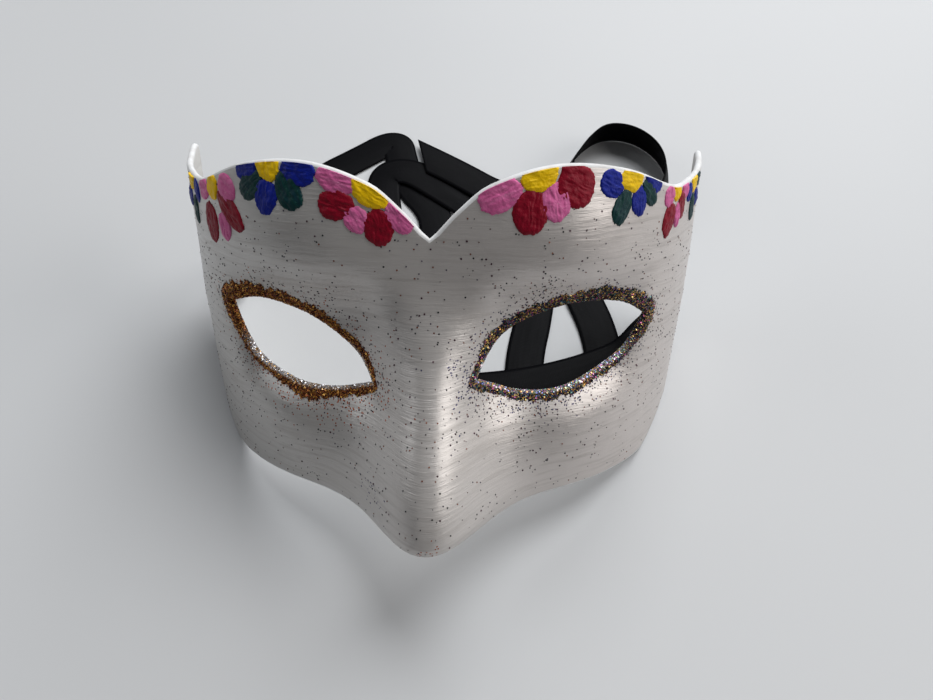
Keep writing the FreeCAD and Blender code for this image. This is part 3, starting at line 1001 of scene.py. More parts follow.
@dataclass
class MaskForm:
    """The law of the face: where a place on the flat-rolled shell stands in the row frame.

    A place is (s, z): the way round the plan curve from the middle line, and the height over
    the eye line, both in millimetres.
    """

    half_width: float = 87.0
    depth: float = 84.0
    plan_power: float = 2.25
    narrowing: float = 0.06
    rear_turn: float = 80.0
    wall: float = 2.0
    tilt: float = 38.0
    upper_points: list = field(default_factory=lambda: [
        (0, 30.9), (3, 37.6), (8, 44.8), (19, 49.7), (33, 48.0), (50, 41.4), (60, 42.2), (70, 44.2),
        (82, 48.2)])
    tip_turns: float = 2.5
    tip_drop: float = 2.5
    heel_turns: float = 7.0
    heel_rise: float = 9.0
    lower_height: float = -48.2
    edge_softness: float = 2.6
    turn_steps: int = 1600
    frame_step: float = 0.25
    search: tuple = (-60.0, 20.0)
    search_steps: int = 26

    def __post_init__(self) -> None:
        """Walks the plan curve once, and seats the face in the CAD shell's box."""
        steps = self.turn_steps
        self.turns = [self.rear_turn * i / steps for i in range(steps + 1)]
        self.walked = lengths_along([self.plan(turn, 0.0) for turn in self.turns])
        self.reach = self.walked[-1]
        tilt = math.radians(self.tilt)
        self.sin_tilt, self.cos_tilt = math.sin(tilt), math.cos(tilt)
        low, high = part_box("mask_shell")
        nose = min(self.tipped(self.upright(0.0, -z / 4)).y for z in range(120, 200))
        brow = max(self.tipped(self.upright(s / 2, self.upper(s / 2))).z for s in range(20, 120))
        self.seat = Vector((0.0, low[1] / MM - nose, high[2] / MM - brow))

    def half_at(self, z: float) -> float:
        """Half the plan curve's width at a height, narrower below the eyes."""
        return self.half_width - self.narrowing * max(0.0, -z)

    def plan(self, turn: float, z: float) -> tuple:
        """The plan curve (x, back) at a turn in degrees."""
        a = math.radians(abs(turn))
        x = self.half_at(z) * math.sin(a) ** (2 / self.plan_power)
        return math.copysign(x, turn), self.depth * (1 - math.cos(a) ** (2 / self.plan_power))

    def features(self, x: float, z: float) -> float:
        """How far nose, brows, cheeks and eye hollows stand forward of the plan curve."""
        a = abs(x)
        nose_width = 11.5 + 8 * ease(-z, 0, 45)
        nose_height = 4 * ease(-z, -22, -2) + 26 * ease(-z, -12, 46) - 9 * ease(-z, 44, 56)
        nose = nose_height * math.exp(-((a / nose_width) ** 2))
        brow = 4 * math.exp(-(((a - 38) / 26) ** 2) - ((z - 30) / 16) ** 2)
        hollow = 7 * math.exp(-(((a - 36) / 22) ** 4) - (z / 17) ** 4)
        cheek = 3 * math.exp(-(((a - 42) / 22) ** 2) - ((z + 30) / 16) ** 2)
        return nose + brow + cheek - hollow

    def turn_at(self, s: float) -> float:
        """The plan curve's turn at a way round it."""
        way = min(abs(s), self.reach)
        i = min(max(bisect_left(self.walked, way), 1), len(self.turns) - 1)
        a, b = self.walked[i - 1], self.walked[i]
        turn = self.turns[i - 1] + (self.turns[i] - self.turns[i - 1]) * (way - a) / (b - a)
        return math.copysign(turn, s)

    def way_to(self, x: float, z: float) -> float:
        """The way round at which the face is x to the side of the middle, at height z."""
        share = min(abs(x) / self.half_at(z), 1.0)
        turn = math.degrees(math.asin(share ** (self.plan_power / 2)))
        share = turn / self.rear_turn * (len(self.turns) - 1)
        i = min(int(share), len(self.turns) - 2)
        way = self.walked[i] + (self.walked[i + 1] - self.walked[i]) * (share - i)
        return math.copysign(way, x)

    def way_of(self, turn: float) -> float:
        """The way round at which the plan curve has that turn."""
        share = abs(turn) / self.rear_turn * (len(self.turns) - 1)
        return math.copysign(self.walked[int(share)], turn)

    def upright(self, s: float, z: float) -> Vector:
        """The outer face's point at a place, upright, as (x, back, up)."""
        x, back = self.plan(self.turn_at(s), z)
        return Vector((x, back - self.features(x, z), z))

    def tipped(self, point: Vector) -> Vector:
        """An upright point or way, tipped back as the mask rests."""
        return Vector((point.x, point.y * self.cos_tilt + point.z * self.sin_tilt,
                       -point.y * self.sin_tilt + point.z * self.cos_tilt))

    def frame_at(self, s: float, z: float) -> tuple:
        """The point on the outer face and the ways round, up and out there, all in the row frame.

        Args:
            s: the way round the plan curve.
            z: the height over the eye line.

        Returns:
            The point in millimetres, and three unit vectors.
        """
        step = self.frame_step
        ahead = self.tipped(self.upright(s + step, z) - self.upright(s - step, z)).normalized()
        upward = self.tipped(self.upright(s, z + step) - self.upright(s, z - step)).normalized()
        out = ahead.cross(upward).normalized()
        return self.tipped(self.upright(s, z)) + self.seat, ahead, upward, out

    def hand_wave(self, s: float, z: float) -> float:
        """How unevenly the hand-laid paper stands, in millimetres."""
        return 0.28 * ripple(s / 17, z / 17, 1.7) + 0.10 * ripple(s / 6, z / 6, 5.2)

    def rounding(self, turn: float, span: float, reach: float) -> float:
        """How far an edge is bent towards the other over the last span degrees of the wing."""
        q = min(max(0.0, (turn - (self.rear_turn - span)) / span), 1.0)
        return reach * (1 - math.sqrt(1 - q * q))

    def upper(self, s: float) -> float:
        """The height of the upper edge."""
        turn = abs(self.turn_at(s))
        rounded = self.rounding(turn, self.tip_turns, self.tip_drop)
        return through(self.upper_points, turn) - rounded

    def lower(self, s: float) -> float:
        """The height of the lower edge: level in front, then along the table to the heel."""
        turn = abs(self.turn_at(s))
        low, high = self.search
        for _ in range(self.search_steps):
            z = (low + high) / 2
            stands = self.tipped(self.upright(s, z)).z + self.seat.z
            low, high = (z, high) if stands < self.wall * 0.4 else (low, z)
        bend = self.edge_softness * 0.4
        swept = self.lower_height + bend * math.log1p(math.exp((high - self.lower_height) / bend))
        return swept + self.rounding(turn, self.heel_turns, self.heel_rise)


@dataclass(frozen=True)
class EyeOpening:
    """An almond opening, from its corners and points along its lids as (x, z)."""

    side: str
    sign: int
    inner: tuple
    upper_lid: tuple
    outer: tuple
    lower_lid: tuple

    def outline(self, form: MaskForm, count: int = 56) -> list:
        """The opening's edge as places on the face.

        Args:
            form: the mask's shape.
            count: points along each lid.

        Returns:
            Places round the opening, anticlockwise as seen on the map of the face.
        """
        top = smooth_path([self.inner, *self.upper_lid, self.outer], count)
        bottom = smooth_path([self.outer, *self.lower_lid, self.inner], count)
        places = [(form.way_to(self.sign * x, z), z) for x, z in top[:-1] + bottom[:-1]]
        area = sum(a[0] * b[1] - b[0] * a[1] for a, b in zip(places, places[1:] + places[:1]))
        return places if area > 0 else places[::-1]


EYES = (EyeOpening("left", -1, (17.3, -11.2), ((23.5, -2.8), (36.5, 5.4), (52.0, 8.2)),
                   (63.0, 6.0), ((56.0, -9.0), (43.0, -14.2), (28.0, -14.4))),
        EyeOpening("right", 1, (13.0, -8.0), ((20.5, 3.2), (38.0, 9.8), (54.5, 9.0)),
                   (63.5, 4.2), ((56.0, -7.5), (40.5, -14.0), (24.5, -13.8))))


def shrink(loop: list, amount: float) -> list:
    """A closed 2-D loop moved to its left side by an amount, corner by corner."""
    moved = []
    count = len(loop)
    for i, (x, y) in enumerate(loop):
        (ax, ay), (bx, by) = loop[i - 1], loop[(i + 1) % count]
        dx, dy = bx - ax, by - ay
        size = math.hypot(dx, dy) or 1.0
        moved.append((x - dy / size * amount, y + dx / size * amount))
    return moved


def inside(loop: list, places: np.ndarray) -> np.ndarray:
    """Which places lie inside a closed 2-D loop."""
    x, y = places[:, 0], places[:, 1]
    result = np.zeros(len(places), dtype=bool)
    for (x0, y0), (x1, y1) in zip(loop, loop[1:] + loop[:1]):
        if y0 != y1:
            crosses = ((y0 > y) != (y1 > y)) & (x < (x1 - x0) * (y - y0) / (y1 - y0) + x0)
            result ^= crosses
    return result


def distance(loop: list, places: np.ndarray) -> np.ndarray:
    """The distance from each place to a closed 2-D loop."""
    best = np.full(len(places), 1e9)
    for a, b in zip(loop, loop[1:] + loop[:1]):
        a, b = np.array(a), np.array(b)
        way = b - a
        size = max(float(way @ way), 1e-12)
        t = np.clip(((places - a) @ way) / size, 0, 1)
        gap = places - a - t[:, None] * way
        best = np.minimum(best, np.hypot(gap[:, 0], gap[:, 1]))
    return best


def round_point(middle: Vector, out: Vector, away: Vector, turn: float, radius: float) -> Vector:
    """A point in metres on a half-round edge.

    Args:
        middle: the middle of the wall at the edge, in millimetres.
        out: the way out of the face.
        away: the way off the edge.
        turn: the turn from out towards away, in radians.
        radius: the distance from the middle, in millimetres.

    Returns:
        The point in the row frame.
    """
    return (middle + (out * math.cos(turn) + away * math.sin(turn)) * radius) * MM


def ring_faces(a: int, b: int, size: int) -> list:
    """Faces between two rings of points, which start at the numbers a and b."""
    return [(a + k, b + k, b + (k + 1) % size, a + (k + 1) % size) for k in range(size)]


@dataclass
class MaskShell:
    """The papier-mache shell: two skins joined by a rounded rim at every edge."""

    form: MaskForm
    grid: float = 1.5
    row_share: float = 0.87
    clear_share: float = 0.55
    lowest: float = -56.0
    highest: float = 52.0
    edge_step: float = 1.2
    rim_steps: int = 6

    def outer_loop(self) -> list:
        """The shell's outline as places on the face, anticlockwise."""
        reach = self.form.reach
        count = int(reach / self.edge_step)
        ways = [reach * math.sin(math.pi / 2 * (k / count)) for k in range(count + 1)]
        upper = [(s, self.form.upper(s)) for s in ways]
        lower = [(s, self.form.lower(s)) for s in ways]
        rear_top, rear_low = upper[-1][1], lower[-1][1]
        steps = max(2, int((rear_top - rear_low) / self.edge_step))
        rear = [(reach, rear_low + (rear_top - rear_low) * k / steps) for k in range(1, steps)]
        right = lower + rear + upper[::-1]
        left = [(-s, z) for s, z in right[::-1]]
        return right + left[1:-1]

    def build(self, pearl: bpy.types.Material, gesso: bpy.types.Material,
              white: bpy.types.Material) -> bpy.types.Object:
        """Triangulates the flat map of the face and raises it.

        Args:
            pearl: the outer paint.
            gesso: the primer inside.
            white: the paint along the edges.

        Returns:
            The shell.
        """
        half_wall = self.form.wall / 2
        outer = shrink(self.outer_loop(), half_wall)
        eyes = [shrink(eye.outline(self.form)[::-1], half_wall) for eye in EYES]
        loops = [outer, *eyes]
        places, triangles, rings = self.flat_map(loops)
        eye_gap = [distance(eye, places) for eye in eyes]
        skins = [self.form.frame_at(*place) for place in places]
        count = len(places)
        points, maps = [], []
        for lift in (0.0, -self.form.wall):
            for (s, z), (point, _, _, out) in zip(places, skins):
                points.append((point + out * (lift + self.form.hand_wave(s, z))) * MM)
                maps.append((s * MM, z * MM))
        faces = [tuple(t) for t in triangles]
        faces += [tuple(count + i for i in reversed(t)) for t in triangles]
        outside = len(triangles)
        for ring in rings:
            faces += self.rim(ring, places, skins, points, maps, count)
        piece = new_object("shell", points, faces)
        give_uv(piece, "strokes", maps)
        spare = [0.0] * (len(points) - count)
        for name, gaps in zip(("rust_dust_and_shade", "violet_dust"), eye_gap):
            values = [self.dust(name, place, float(gap)) for place, gap in zip(places, gaps)]
            give_values(piece, name, values + spare)
        cover = [self.speck_cover(place, float(a), float(b))
                 for place, a, b in zip(places, *eye_gap)]
        give_values(piece, "cover", cover + spare)
        for material in (pearl, gesso, white):
            piece.data.materials.append(material)
        for polygon in piece.data.polygons:
            polygon.material_index = min(polygon.index // outside, 2)
        seat_piece(piece, "shell_white", "mask_shell")
        return piece

    def flat_map(self, loops: list) -> tuple:
        """Triangulates the map between the outline and the eye openings.

        Args:
            loops: the outline, then the openings.

        Returns:
            The places, the triangles, and each loop as place numbers.
        """
        reach = self.form.reach
        columns = np.arange(-reach, reach + self.grid, self.grid)
        rows = np.arange(self.lowest, self.highest, self.grid * self.row_share)
        inner = np.array([(s + (self.grid / 2 if j % 2 else 0), z)
                          for j, z in enumerate(rows) for s in columns])
        clear = self.grid * self.clear_share
        kept = inside(loops[0], inner) & (distance(loops[0], inner) > clear)
        for eye in loops[1:]:
            kept &= ~inside(eye, inner) & (distance(eye, inner) > clear)
        flat, edges, rings = [], [], []
        for loop in loops:
            start = len(flat)
            flat += loop
            size = len(loop)
            edges += [(start + i, start + (i + 1) % size) for i in range(size)]
            rings.append(list(range(start, start + size)))
        flat += [tuple(p) for p in inner[kept]]
        verts, _, faces, origins, _, _ = delaunay_2d_cdt([Vector(p) for p in flat], edges, [], 0,
                                                         1e-6)
        new_number = {}
        for i, olds in enumerate(origins):
            for old in olds:
                new_number[old] = i
        places = np.array([tuple(v) for v in verts])
        middles = np.array([places[list(f)].mean(axis=0) for f in faces])
        good = inside(loops[0], middles)
        for eye in loops[1:]:
            good &= ~inside(eye, middles)
        triangles = [f for f, ok in zip(faces, good) if ok]
        return places, triangles, [[new_number[i] for i in ring] for ring in rings]

    def rim(self, ring: list, places: np.ndarray, skins: list, points: list, maps: list,
            count: int) -> list:
        """Joins the two skins along one edge by a half-round.

        Args:
            ring: the edge's place numbers, with the shell on their left.
            places: all places.
            skins: the frame at each place.
            points: the shell's points, to which the rim's are added.
            maps: their stroke map, likewise.
            count: how many places there are.

        Returns:
            The rim's faces.
        """
        half_wall = self.form.wall / 2
        size = len(ring)
        rows = []
        for i, number in enumerate(ring):
            point, _, _, out = skins[number]
            along = (skins[ring[(i + 1) % size]][0] - skins[ring[i - 1]][0]).normalized()
            away = along.cross(out).normalized()
            s, z = places[number]
            middle = point + out * (self.form.hand_wave(s, z) - half_wall)
            row = [number]
            for k in range(1, self.rim_steps):
                turn = math.pi * k / self.rim_steps
                points.append(round_point(middle, out, away, turn, half_wall))
                maps.append((s * MM, z * MM))
                row.append(len(points) - 1)
            row.append(count + number)
            rows.append(row)
        faces = []
        for i in range(size):
            here, there = rows[i], rows[(i + 1) % size]
            for k in range(self.rim_steps):
                faces.append((here[k], here[k + 1], there[k + 1], there[k]))
        return faces

    @staticmethod
    def dust(kind: str, place: tuple, gap: float) -> float:
        """How thick the finest glitter dust lies, from 0 to 1, with a patch of rust grains on the
        nose tip as painted shade.
        """
        s, z = place
        patchy = 0.55 + 0.6 * ripple(s / 7, z / 7, 9.0)
        lies = math.exp(-gap / 3.0) * 0.9 + math.exp(-gap / 7.0) * max(0.0, patchy) * 0.35
        if kind == "rust_dust_and_shade":
            # painted shade: a dense patch of rust grains on the nose tip
            lies += 0.5 * math.exp(-((s / 6) ** 2) - ((z + 46) / 5) ** 2)
            halo = math.exp(-(((s + 36) / 20) ** 2) - ((z + 19) / 6) ** 2)
            lies += 0.45 * halo * max(0.0, patchy)
        else:
            lies += 0.55 * math.exp(-(((s + 17) / 3.5) ** 2) - ((z + 38) / 5.5) ** 2)
            lies += 1.6 * math.exp(-(((s - 6.4) / 1.5) ** 2) - ((z + 2.5) / 2.0) ** 2)
        return min(1.0, lies + 0.012)

    @staticmethod
    def speck_cover(place: tuple, left_gap: float, right_gap: float) -> float:
        """How thickly loose flakes lie, as a share of the densest."""
        s, z = place
        gap = min(left_gap, right_gap)
        near = 0.9 * math.exp(-gap / 2.2) + 0.20 * math.exp(-gap / 9.0)
        patchy = 0.7 + 0.8 * ripple(s / 12, z / 12, 21.0)
        return min(1.0, near * max(0.15, patchy) + 0.030 * max(0.3, patchy))


# ---- glitter -------------------------------------------------------------------------------


class FlakeScatter:
    """A Geometry Nodes tree that strews small flakes over a surface by its cover attribute."""

    def __init__(self) -> None:
        """Builds the tree once."""
        tree = bpy.data.node_groups.new("flake_scatter", "GeometryNodeTree")
        self.tree = tree
        for in_out in ("INPUT", "OUTPUT"):
            tree.interface.new_socket(name="Geometry", in_out=in_out,
                                      socket_type="NodeSocketGeometry")
        for label, kind in (("Flake Size", "NodeSocketFloat"), ("Flakes per m2", "NodeSocketFloat"),
                            ("Tilt", "NodeSocketFloat"), ("Lift", "NodeSocketFloat"),
                            ("Corners", "NodeSocketInt"), ("Seed", "NodeSocketInt"),
                            ("Finish", "NodeSocketMaterial")):
            tree.interface.new_socket(name=label, in_out="INPUT", socket_type=kind)
        desk = NodeDesk(tree)
        given = desk.place("NodeGroupInput").outputs
        cover = desk.place("GeometryNodeInputNamedAttribute", {"Name": "cover"}, data_type="FLOAT")
        density = desk.math("MULTIPLY", given["Flakes per m2"], cover.outputs["Attribute"])
        strewn = desk.place("GeometryNodeDistributePointsOnFaces",
                            {"Mesh": given["Geometry"], "Density": density, "Seed": given["Seed"]})
        rise = desk.place("ShaderNodeVectorMath",
                          {0: strewn.outputs["Normal"], "Scale": given["Lift"]},
                          operation="SCALE")
        lifted = desk.place("GeometryNodeSetPosition",
                            {"Geometry": strewn.outputs["Points"], "Offset": rise.outputs[0]})
        flake = desk.place("GeometryNodeMeshCylinder",
                           {"Vertices": given["Corners"], "Radius": 0.5, "Depth": 0.12},
                           fill_type="NGON")
        lean = desk.place("FunctionNodeRandomValue",
                          {0: desk.triple(-1.0, given["Tilt"]), 1: desk.triple(1.0, given["Tilt"]),
                           "Seed": given["Seed"]}, data_type="FLOAT_VECTOR")
        leaned = desk.place("FunctionNodeEulerToRotation", {0: lean.outputs["Value"]})
        turned = desk.place("FunctionNodeRotateRotation",
                            {0: strewn.outputs["Rotation"], 1: leaned.outputs[0]},
                            rotation_space="LOCAL")
        spread = desk.place("FunctionNodeRandomValue", {2: 0.55, 3: 1.35, "Seed": given["Seed"]},
                            data_type="FLOAT")
        size = desk.math("MULTIPLY", spread.outputs[1], given["Flake Size"])
        laid = desk.place("GeometryNodeInstanceOnPoints",
                          {"Points": lifted.outputs[0], "Instance": flake.outputs["Mesh"],
                           "Rotation": turned.outputs[0], "Scale": size})
        chance = desk.place("FunctionNodeRandomValue", {2: 0.0, 3: 1.0, "Seed": given["Seed"]},
                            data_type="FLOAT")
        tinted = desk.place("GeometryNodeStoreNamedAttribute",
                            {"Geometry": laid.outputs[0], "Name": "tint",
                             "Value": chance.outputs[1]}, data_type="FLOAT", domain="INSTANCE")
        real = desk.place("GeometryNodeRealizeInstances", {0: tinted.outputs[0]})
        done = desk.place("GeometryNodeSetMaterial", {"Geometry": real.outputs[0],
                                                      "Material": given["Finish"]})
        desk.place("NodeGroupOutput", {0: done.outputs[0]})

    def strew(self, name: str, base: bpy.types.Object, finish: bpy.types.Material,
              **values: float) -> bpy.types.Object:
        """Strews flakes over a piece and gives them back as one mesh piece.

        Args:
            name: the new piece's name.
            base: the piece whose surface is strewn; it isn't changed.
            finish: the flakes' material.
            values: the tree's inputs, with _ for a space in a name.

        Returns:
            The flakes.
        """
        holder = bpy.data.objects.new("holder", base.data)
        bpy.context.scene.collection.objects.link(holder)
        modifier = holder.modifiers.new("flakes", "NODES")
        modifier.node_group = self.tree
        sockets = {item.name: item.identifier for item in self.tree.interface.items_tree
                   if item.in_out == "INPUT"}
        for label, value in values.items():
            modifier[sockets[label.replace("_", " ")]] = value
        modifier[sockets["Finish"]] = finish
        evaluated = holder.evaluated_get(bpy.context.evaluated_depsgraph_get())
        mesh = bpy.data.meshes.new_from_object(evaluated)
        bpy.data.objects.remove(holder)
        mesh.name = name
        if not mesh.materials:
            mesh.materials.append(finish)
        piece = bpy.data.objects.new(name, mesh)
        bpy.context.scene.collection.objects.link(piece)
        return piece


@dataclass
class GlitterRim:
    """The raised glue bed round one eye opening, over its edge, with flakes stuck all over it."""

    form: MaskForm
    eye: EyeOpening
    slim: float = 2.1
    wide: float = 5.0
    bed: float = 0.28
    rows: int = 7
    round_rows: int = 7
    round_turns: float = 0.92
    back_rows: tuple = ((0.8, 0.6), (0.3, 0.6))

    def band_width(self, s: float, z: float) -> float:
        """The band's width on the face, widest over the outer part of the upper lid."""
        high = ease(z, -6.0, 8.0)
        outer = ease(abs(s), 26.0, 62.0)
        ragged = (0.80 + 0.40 * ripple(s / 3.1, z / 3.1, 31.0)
                  + 0.35 * ripple(s / 0.9, z / 0.9, 17.0))
        clump = 2.2 * math.exp(-(((s + 38.0) / 7.0) ** 2) - ((z + 17.0) / 6.0) ** 2)
        return (self.slim + (self.wide - self.slim) * high * (0.35 + 0.65 * outer) + clump) * ragged

    def build(self, glue: bpy.types.Material, flakes: bpy.types.Material,
              scatter: FlakeScatter) -> None:
        """Lays the bed and strews its flakes.

        Args:
            glue: the bed's material.
            flakes: the flakes' material.
            scatter: the tree that strews them.
        """
        loop = self.eye.outline(self.form, 150)
        count = len(loop)
        edge = shrink(loop, -self.form.wall / 2)
        points, cover, painted_glint = [], [], []
        for i in range(count):
            s, z = edge[i]
            # painted glint: flakes on the lower lid, which faces the window, take the brighter
            # colour set
            lower = ease(-(z + 0.08 * abs(s)), -3.0, 5.0)
            (ax, az), (bx, bz) = loop[i - 1], loop[(i + 1) % count]
            size = math.hypot(bx - ax, bz - az) or 1.0
            away = ((bz - az) / size, -(bx - ax) / size)
            width = max(0.5, self.band_width(s, z))
            for k in range(self.rows):
                t = 1 - k / (self.rows - 1)
                place = (s + away[0] * width * t, z + away[1] * width * t)
                point, _, _, out = self.form.frame_at(*place)
                lump = self.bed * (0.8 + 0.4 * ripple(place[0], place[1], 2.0))
                lift = -0.15 if k == 0 else lump * math.sqrt(1 - t**3)
                points.append((point + out * (lift + self.form.hand_wave(*place))) * MM)
                cover.append(1.0 - 0.6 * t)
                painted_glint.append(0.0 if t > 0 else lower * 0.6)
            points += self.edge_points(edge, i)
            bare = [0.0] * len(self.back_rows)
            cover += [1.0] * self.round_rows + bare
            painted_glint += [lower] * self.round_rows + bare
        ring = len(points) // count
        faces = []
        for i in range(count):
            faces += ring_faces(i * ring, (i + 1) % count * ring, ring)
        name = "glitter_bed_" + self.eye.side
        bed = new_object(name, points, faces)
        give_values(bed, "cover", cover)
        give_values(bed, "painted_glint", painted_glint)
        bed.data.materials.append(glue)
        slot = {"left": "glitter_copper", "right": "glitter_mixed"}[self.eye.side]
        seat_piece(bed, slot, "eye_glitter_" + self.eye.side)
        strewn = scatter.strew("glitter_flakes_" + self.eye.side, bed, flakes, Flake_Size=0.00052,
                               Flakes_per_m2=9.0e6, Tilt=0.6, Lift=0.00006, Corners=5, Seed=11)
        seat_piece(strewn, slot)

    def edge_points(self, edge: list, i: int) -> list:
        """The bed's points round the opening's half-round edge and back under it."""
        count = len(edge)
        s, z = edge[i]
        point, _, _, out = self.form.frame_at(s, z)
        before = self.form.frame_at(*edge[i - 1])[0]
        after = self.form.frame_at(*edge[(i + 1) % count])[0]
        away = out.cross((after - before).normalized()).normalized()
        half_wall = self.form.wall / 2
        middle = point + out * (self.form.hand_wave(s, z) - half_wall)
        found = []
        for k in range(1, self.round_rows + 1):
            turn = math.pi * self.round_turns * k / self.round_rows
            thick = half_wall + self.bed * (0.55 + 0.3 * ripple(s * 1.2, z * 1.2 + k, 8.0))
            found.append(round_point(middle, out, away, turn, thick))
        for half_turns, share in self.back_rows:
            found.append(round_point(middle, out, away, math.pi * half_turns, half_wall * share))
        return found


# ---- the painted flowers -------------------------------------------------------------------


class Paint(Enum):
    """The colours of the flowers."""

    PINK = "pink"
    CRIMSON = "crimson"
    BLUE = "blue"
    GREEN = "green"
    YELLOW = "yellow"


PAINTS = {
    Paint.PINK: AcrylicFinish("paint_pink", (0.68, 0.13, 0.34), (0.76, 0.25, 0.46),
                              (0.84, 0.40, 0.58)),
    Paint.CRIMSON: AcrylicFinish("paint_crimson", (0.26, 0.001, 0.016), (0.16, 0.001, 0.010),
                                 (0.40, 0.010, 0.035)),
    Paint.BLUE: AcrylicFinish("paint_blue", (0.003, 0.014, 0.27), (0.002, 0.007, 0.13),
                              (0.012, 0.05, 0.42)),
    Paint.GREEN: AcrylicFinish("paint_green", (0.002, 0.040, 0.036), (0.004, 0.014, 0.045),
                               (0.03, 0.13, 0.10)),
    Paint.YELLOW: AcrylicFinish("paint_yellow", (0.97, 0.60, 0.001), (0.98, 0.68, 0.01),
                                (0.80, 0.44, 0.005)),
}


@dataclass(frozen=True)
class Petal:
    """One dab of paint: its colour, place, size and lean beside the flower's middle."""

    paint: Paint
    along: float
    up: float
    length: float
    tall: float
    lean: float


@dataclass
class PaintedFlower:
    """A flower of thick paint on the upper edge of the face."""

    form: MaskForm
    name: str
    turn: float
    height: float
    middle: tuple
    petals: tuple
    thick: float = 0.62
    rings: int = 13
    spokes: int = 84
    edge_gap: float = 0.75
    under: float = -0.25

    def build(self, materials: dict) -> None:
        """Makes a piece for each colour of the flower.

        Args:
            materials: the material for each paint.
        """
        way = self.form.way_of(self.turn)
        dabs: dict = {}
        for number, petal in enumerate(self.petals):
            dabs.setdefault(petal.paint, []).append((number, petal))
        middle = Petal(Paint.YELLOW, 0.0, 0.6, *self.middle)
        dabs[Paint.YELLOW] = [(len(self.petals), middle)]
        for paint, several in dabs.items():
            points, faces, maps = [], [], []
            for number, petal in several:
                self.dab(way, petal, number, points, faces, maps)
            piece = new_object("flower_dabs_%s_%s" % (self.name, paint.value), points, faces)
            give_uv(piece, "strokes", maps)
            piece.data.materials.append(materials[paint])
            seat_piece(piece, "paint_" + paint.value, "flower_%s_%s" % (self.name, paint.value))

    def dab(self, way: float, petal: Petal, number: int, points: list, faces: list,
            maps: list) -> None:
        """Adds one dab: a domed top with brush ridges, a steep edge and a closed underside.

        Args:
            way: the flower's way round the face.
            petal: the dab.
            number: its number in the flower, which also sets how high it overlaps.
            points: the piece's points, to which the dab's are added.
            faces: its faces, likewise.
            maps: its stroke map, likewise.
        """
        rings, spokes = self.rings, self.spokes
        lean = math.radians(petal.lean)
        long_way = petal.length >= petal.tall
        seed = abs(way) * 1.3 + number * 7.7
        start = len(points)

        def place(ring: float, spoke: int, lift: float | None) -> None:
            """Adds the point at a share of the dab's radius."""
            a = 2 * math.pi * spoke / spokes
            edge = 1 + sum(reach * ripple(math.cos(a) * turns, math.sin(a) * turns, seed)
                           for turns, reach in ((1.3, 0.14), (4.5, 0.07), (13.0, 0.055)))
            u = math.cos(a) * petal.length / 2 * ring * edge
            v = math.sin(a) * petal.tall / 2 * ring * edge
            s = way + petal.along + u * math.cos(lean) - v * math.sin(lean)
            z = self.height + petal.up + u * math.sin(lean) + v * math.cos(lean)
            z = min(z, self.form.upper(s) - self.edge_gap)
            stroke = (u, v) if long_way else (v, u)
            if lift is None:
                swing = 0.9 * ripple(stroke[0] * 0.35, stroke[1] * 0.35, seed)
                ridge = ripple(stroke[1] * 1.9 + swing, stroke[0] * 0.30, seed)
                body = self.thick * (0.70 + 0.30 * ridge
                                     + 0.35 * ripple(u / 1.7, v / 1.7, seed + 3)
                                     + 0.15 * ripple(u * 1.6, v * 1.6, seed + 6))
                lift = max(0.12, body) * (1 - ring**5) ** 0.5 + 0.035 * number * (1 - ring**4)
            point, _, _, out = self.form.frame_at(s, z)
            points.append((point + out * (lift + self.form.hand_wave(s, z))) * MM)
            maps.append(((stroke[0] + number * 31.0) * MM, stroke[1] * MM))

        place(0.0, 0, None)
        for r in range(1, rings + 1):
            share = (r / rings) ** 0.8
            for k in range(spokes):
                place(share, k, None if r < rings else -0.05)
        for k in range(spokes):
            place(0.9, k, self.under)
        place(0.0, 0, self.under)
        top, bottom = start, len(points) - 1
        for k in range(spokes):
            n = (k + 1) % spokes
            faces.append((top, top + 1 + k, top + 1 + n))
            for r in range(rings):
                a, b = top + 1 + r * spokes, top + 1 + (r + 1) * spokes
                faces.append((a + k, b + k, b + n, a + n))
            last = top + 1 + rings * spokes
            faces.append((bottom, last + n, last + k))


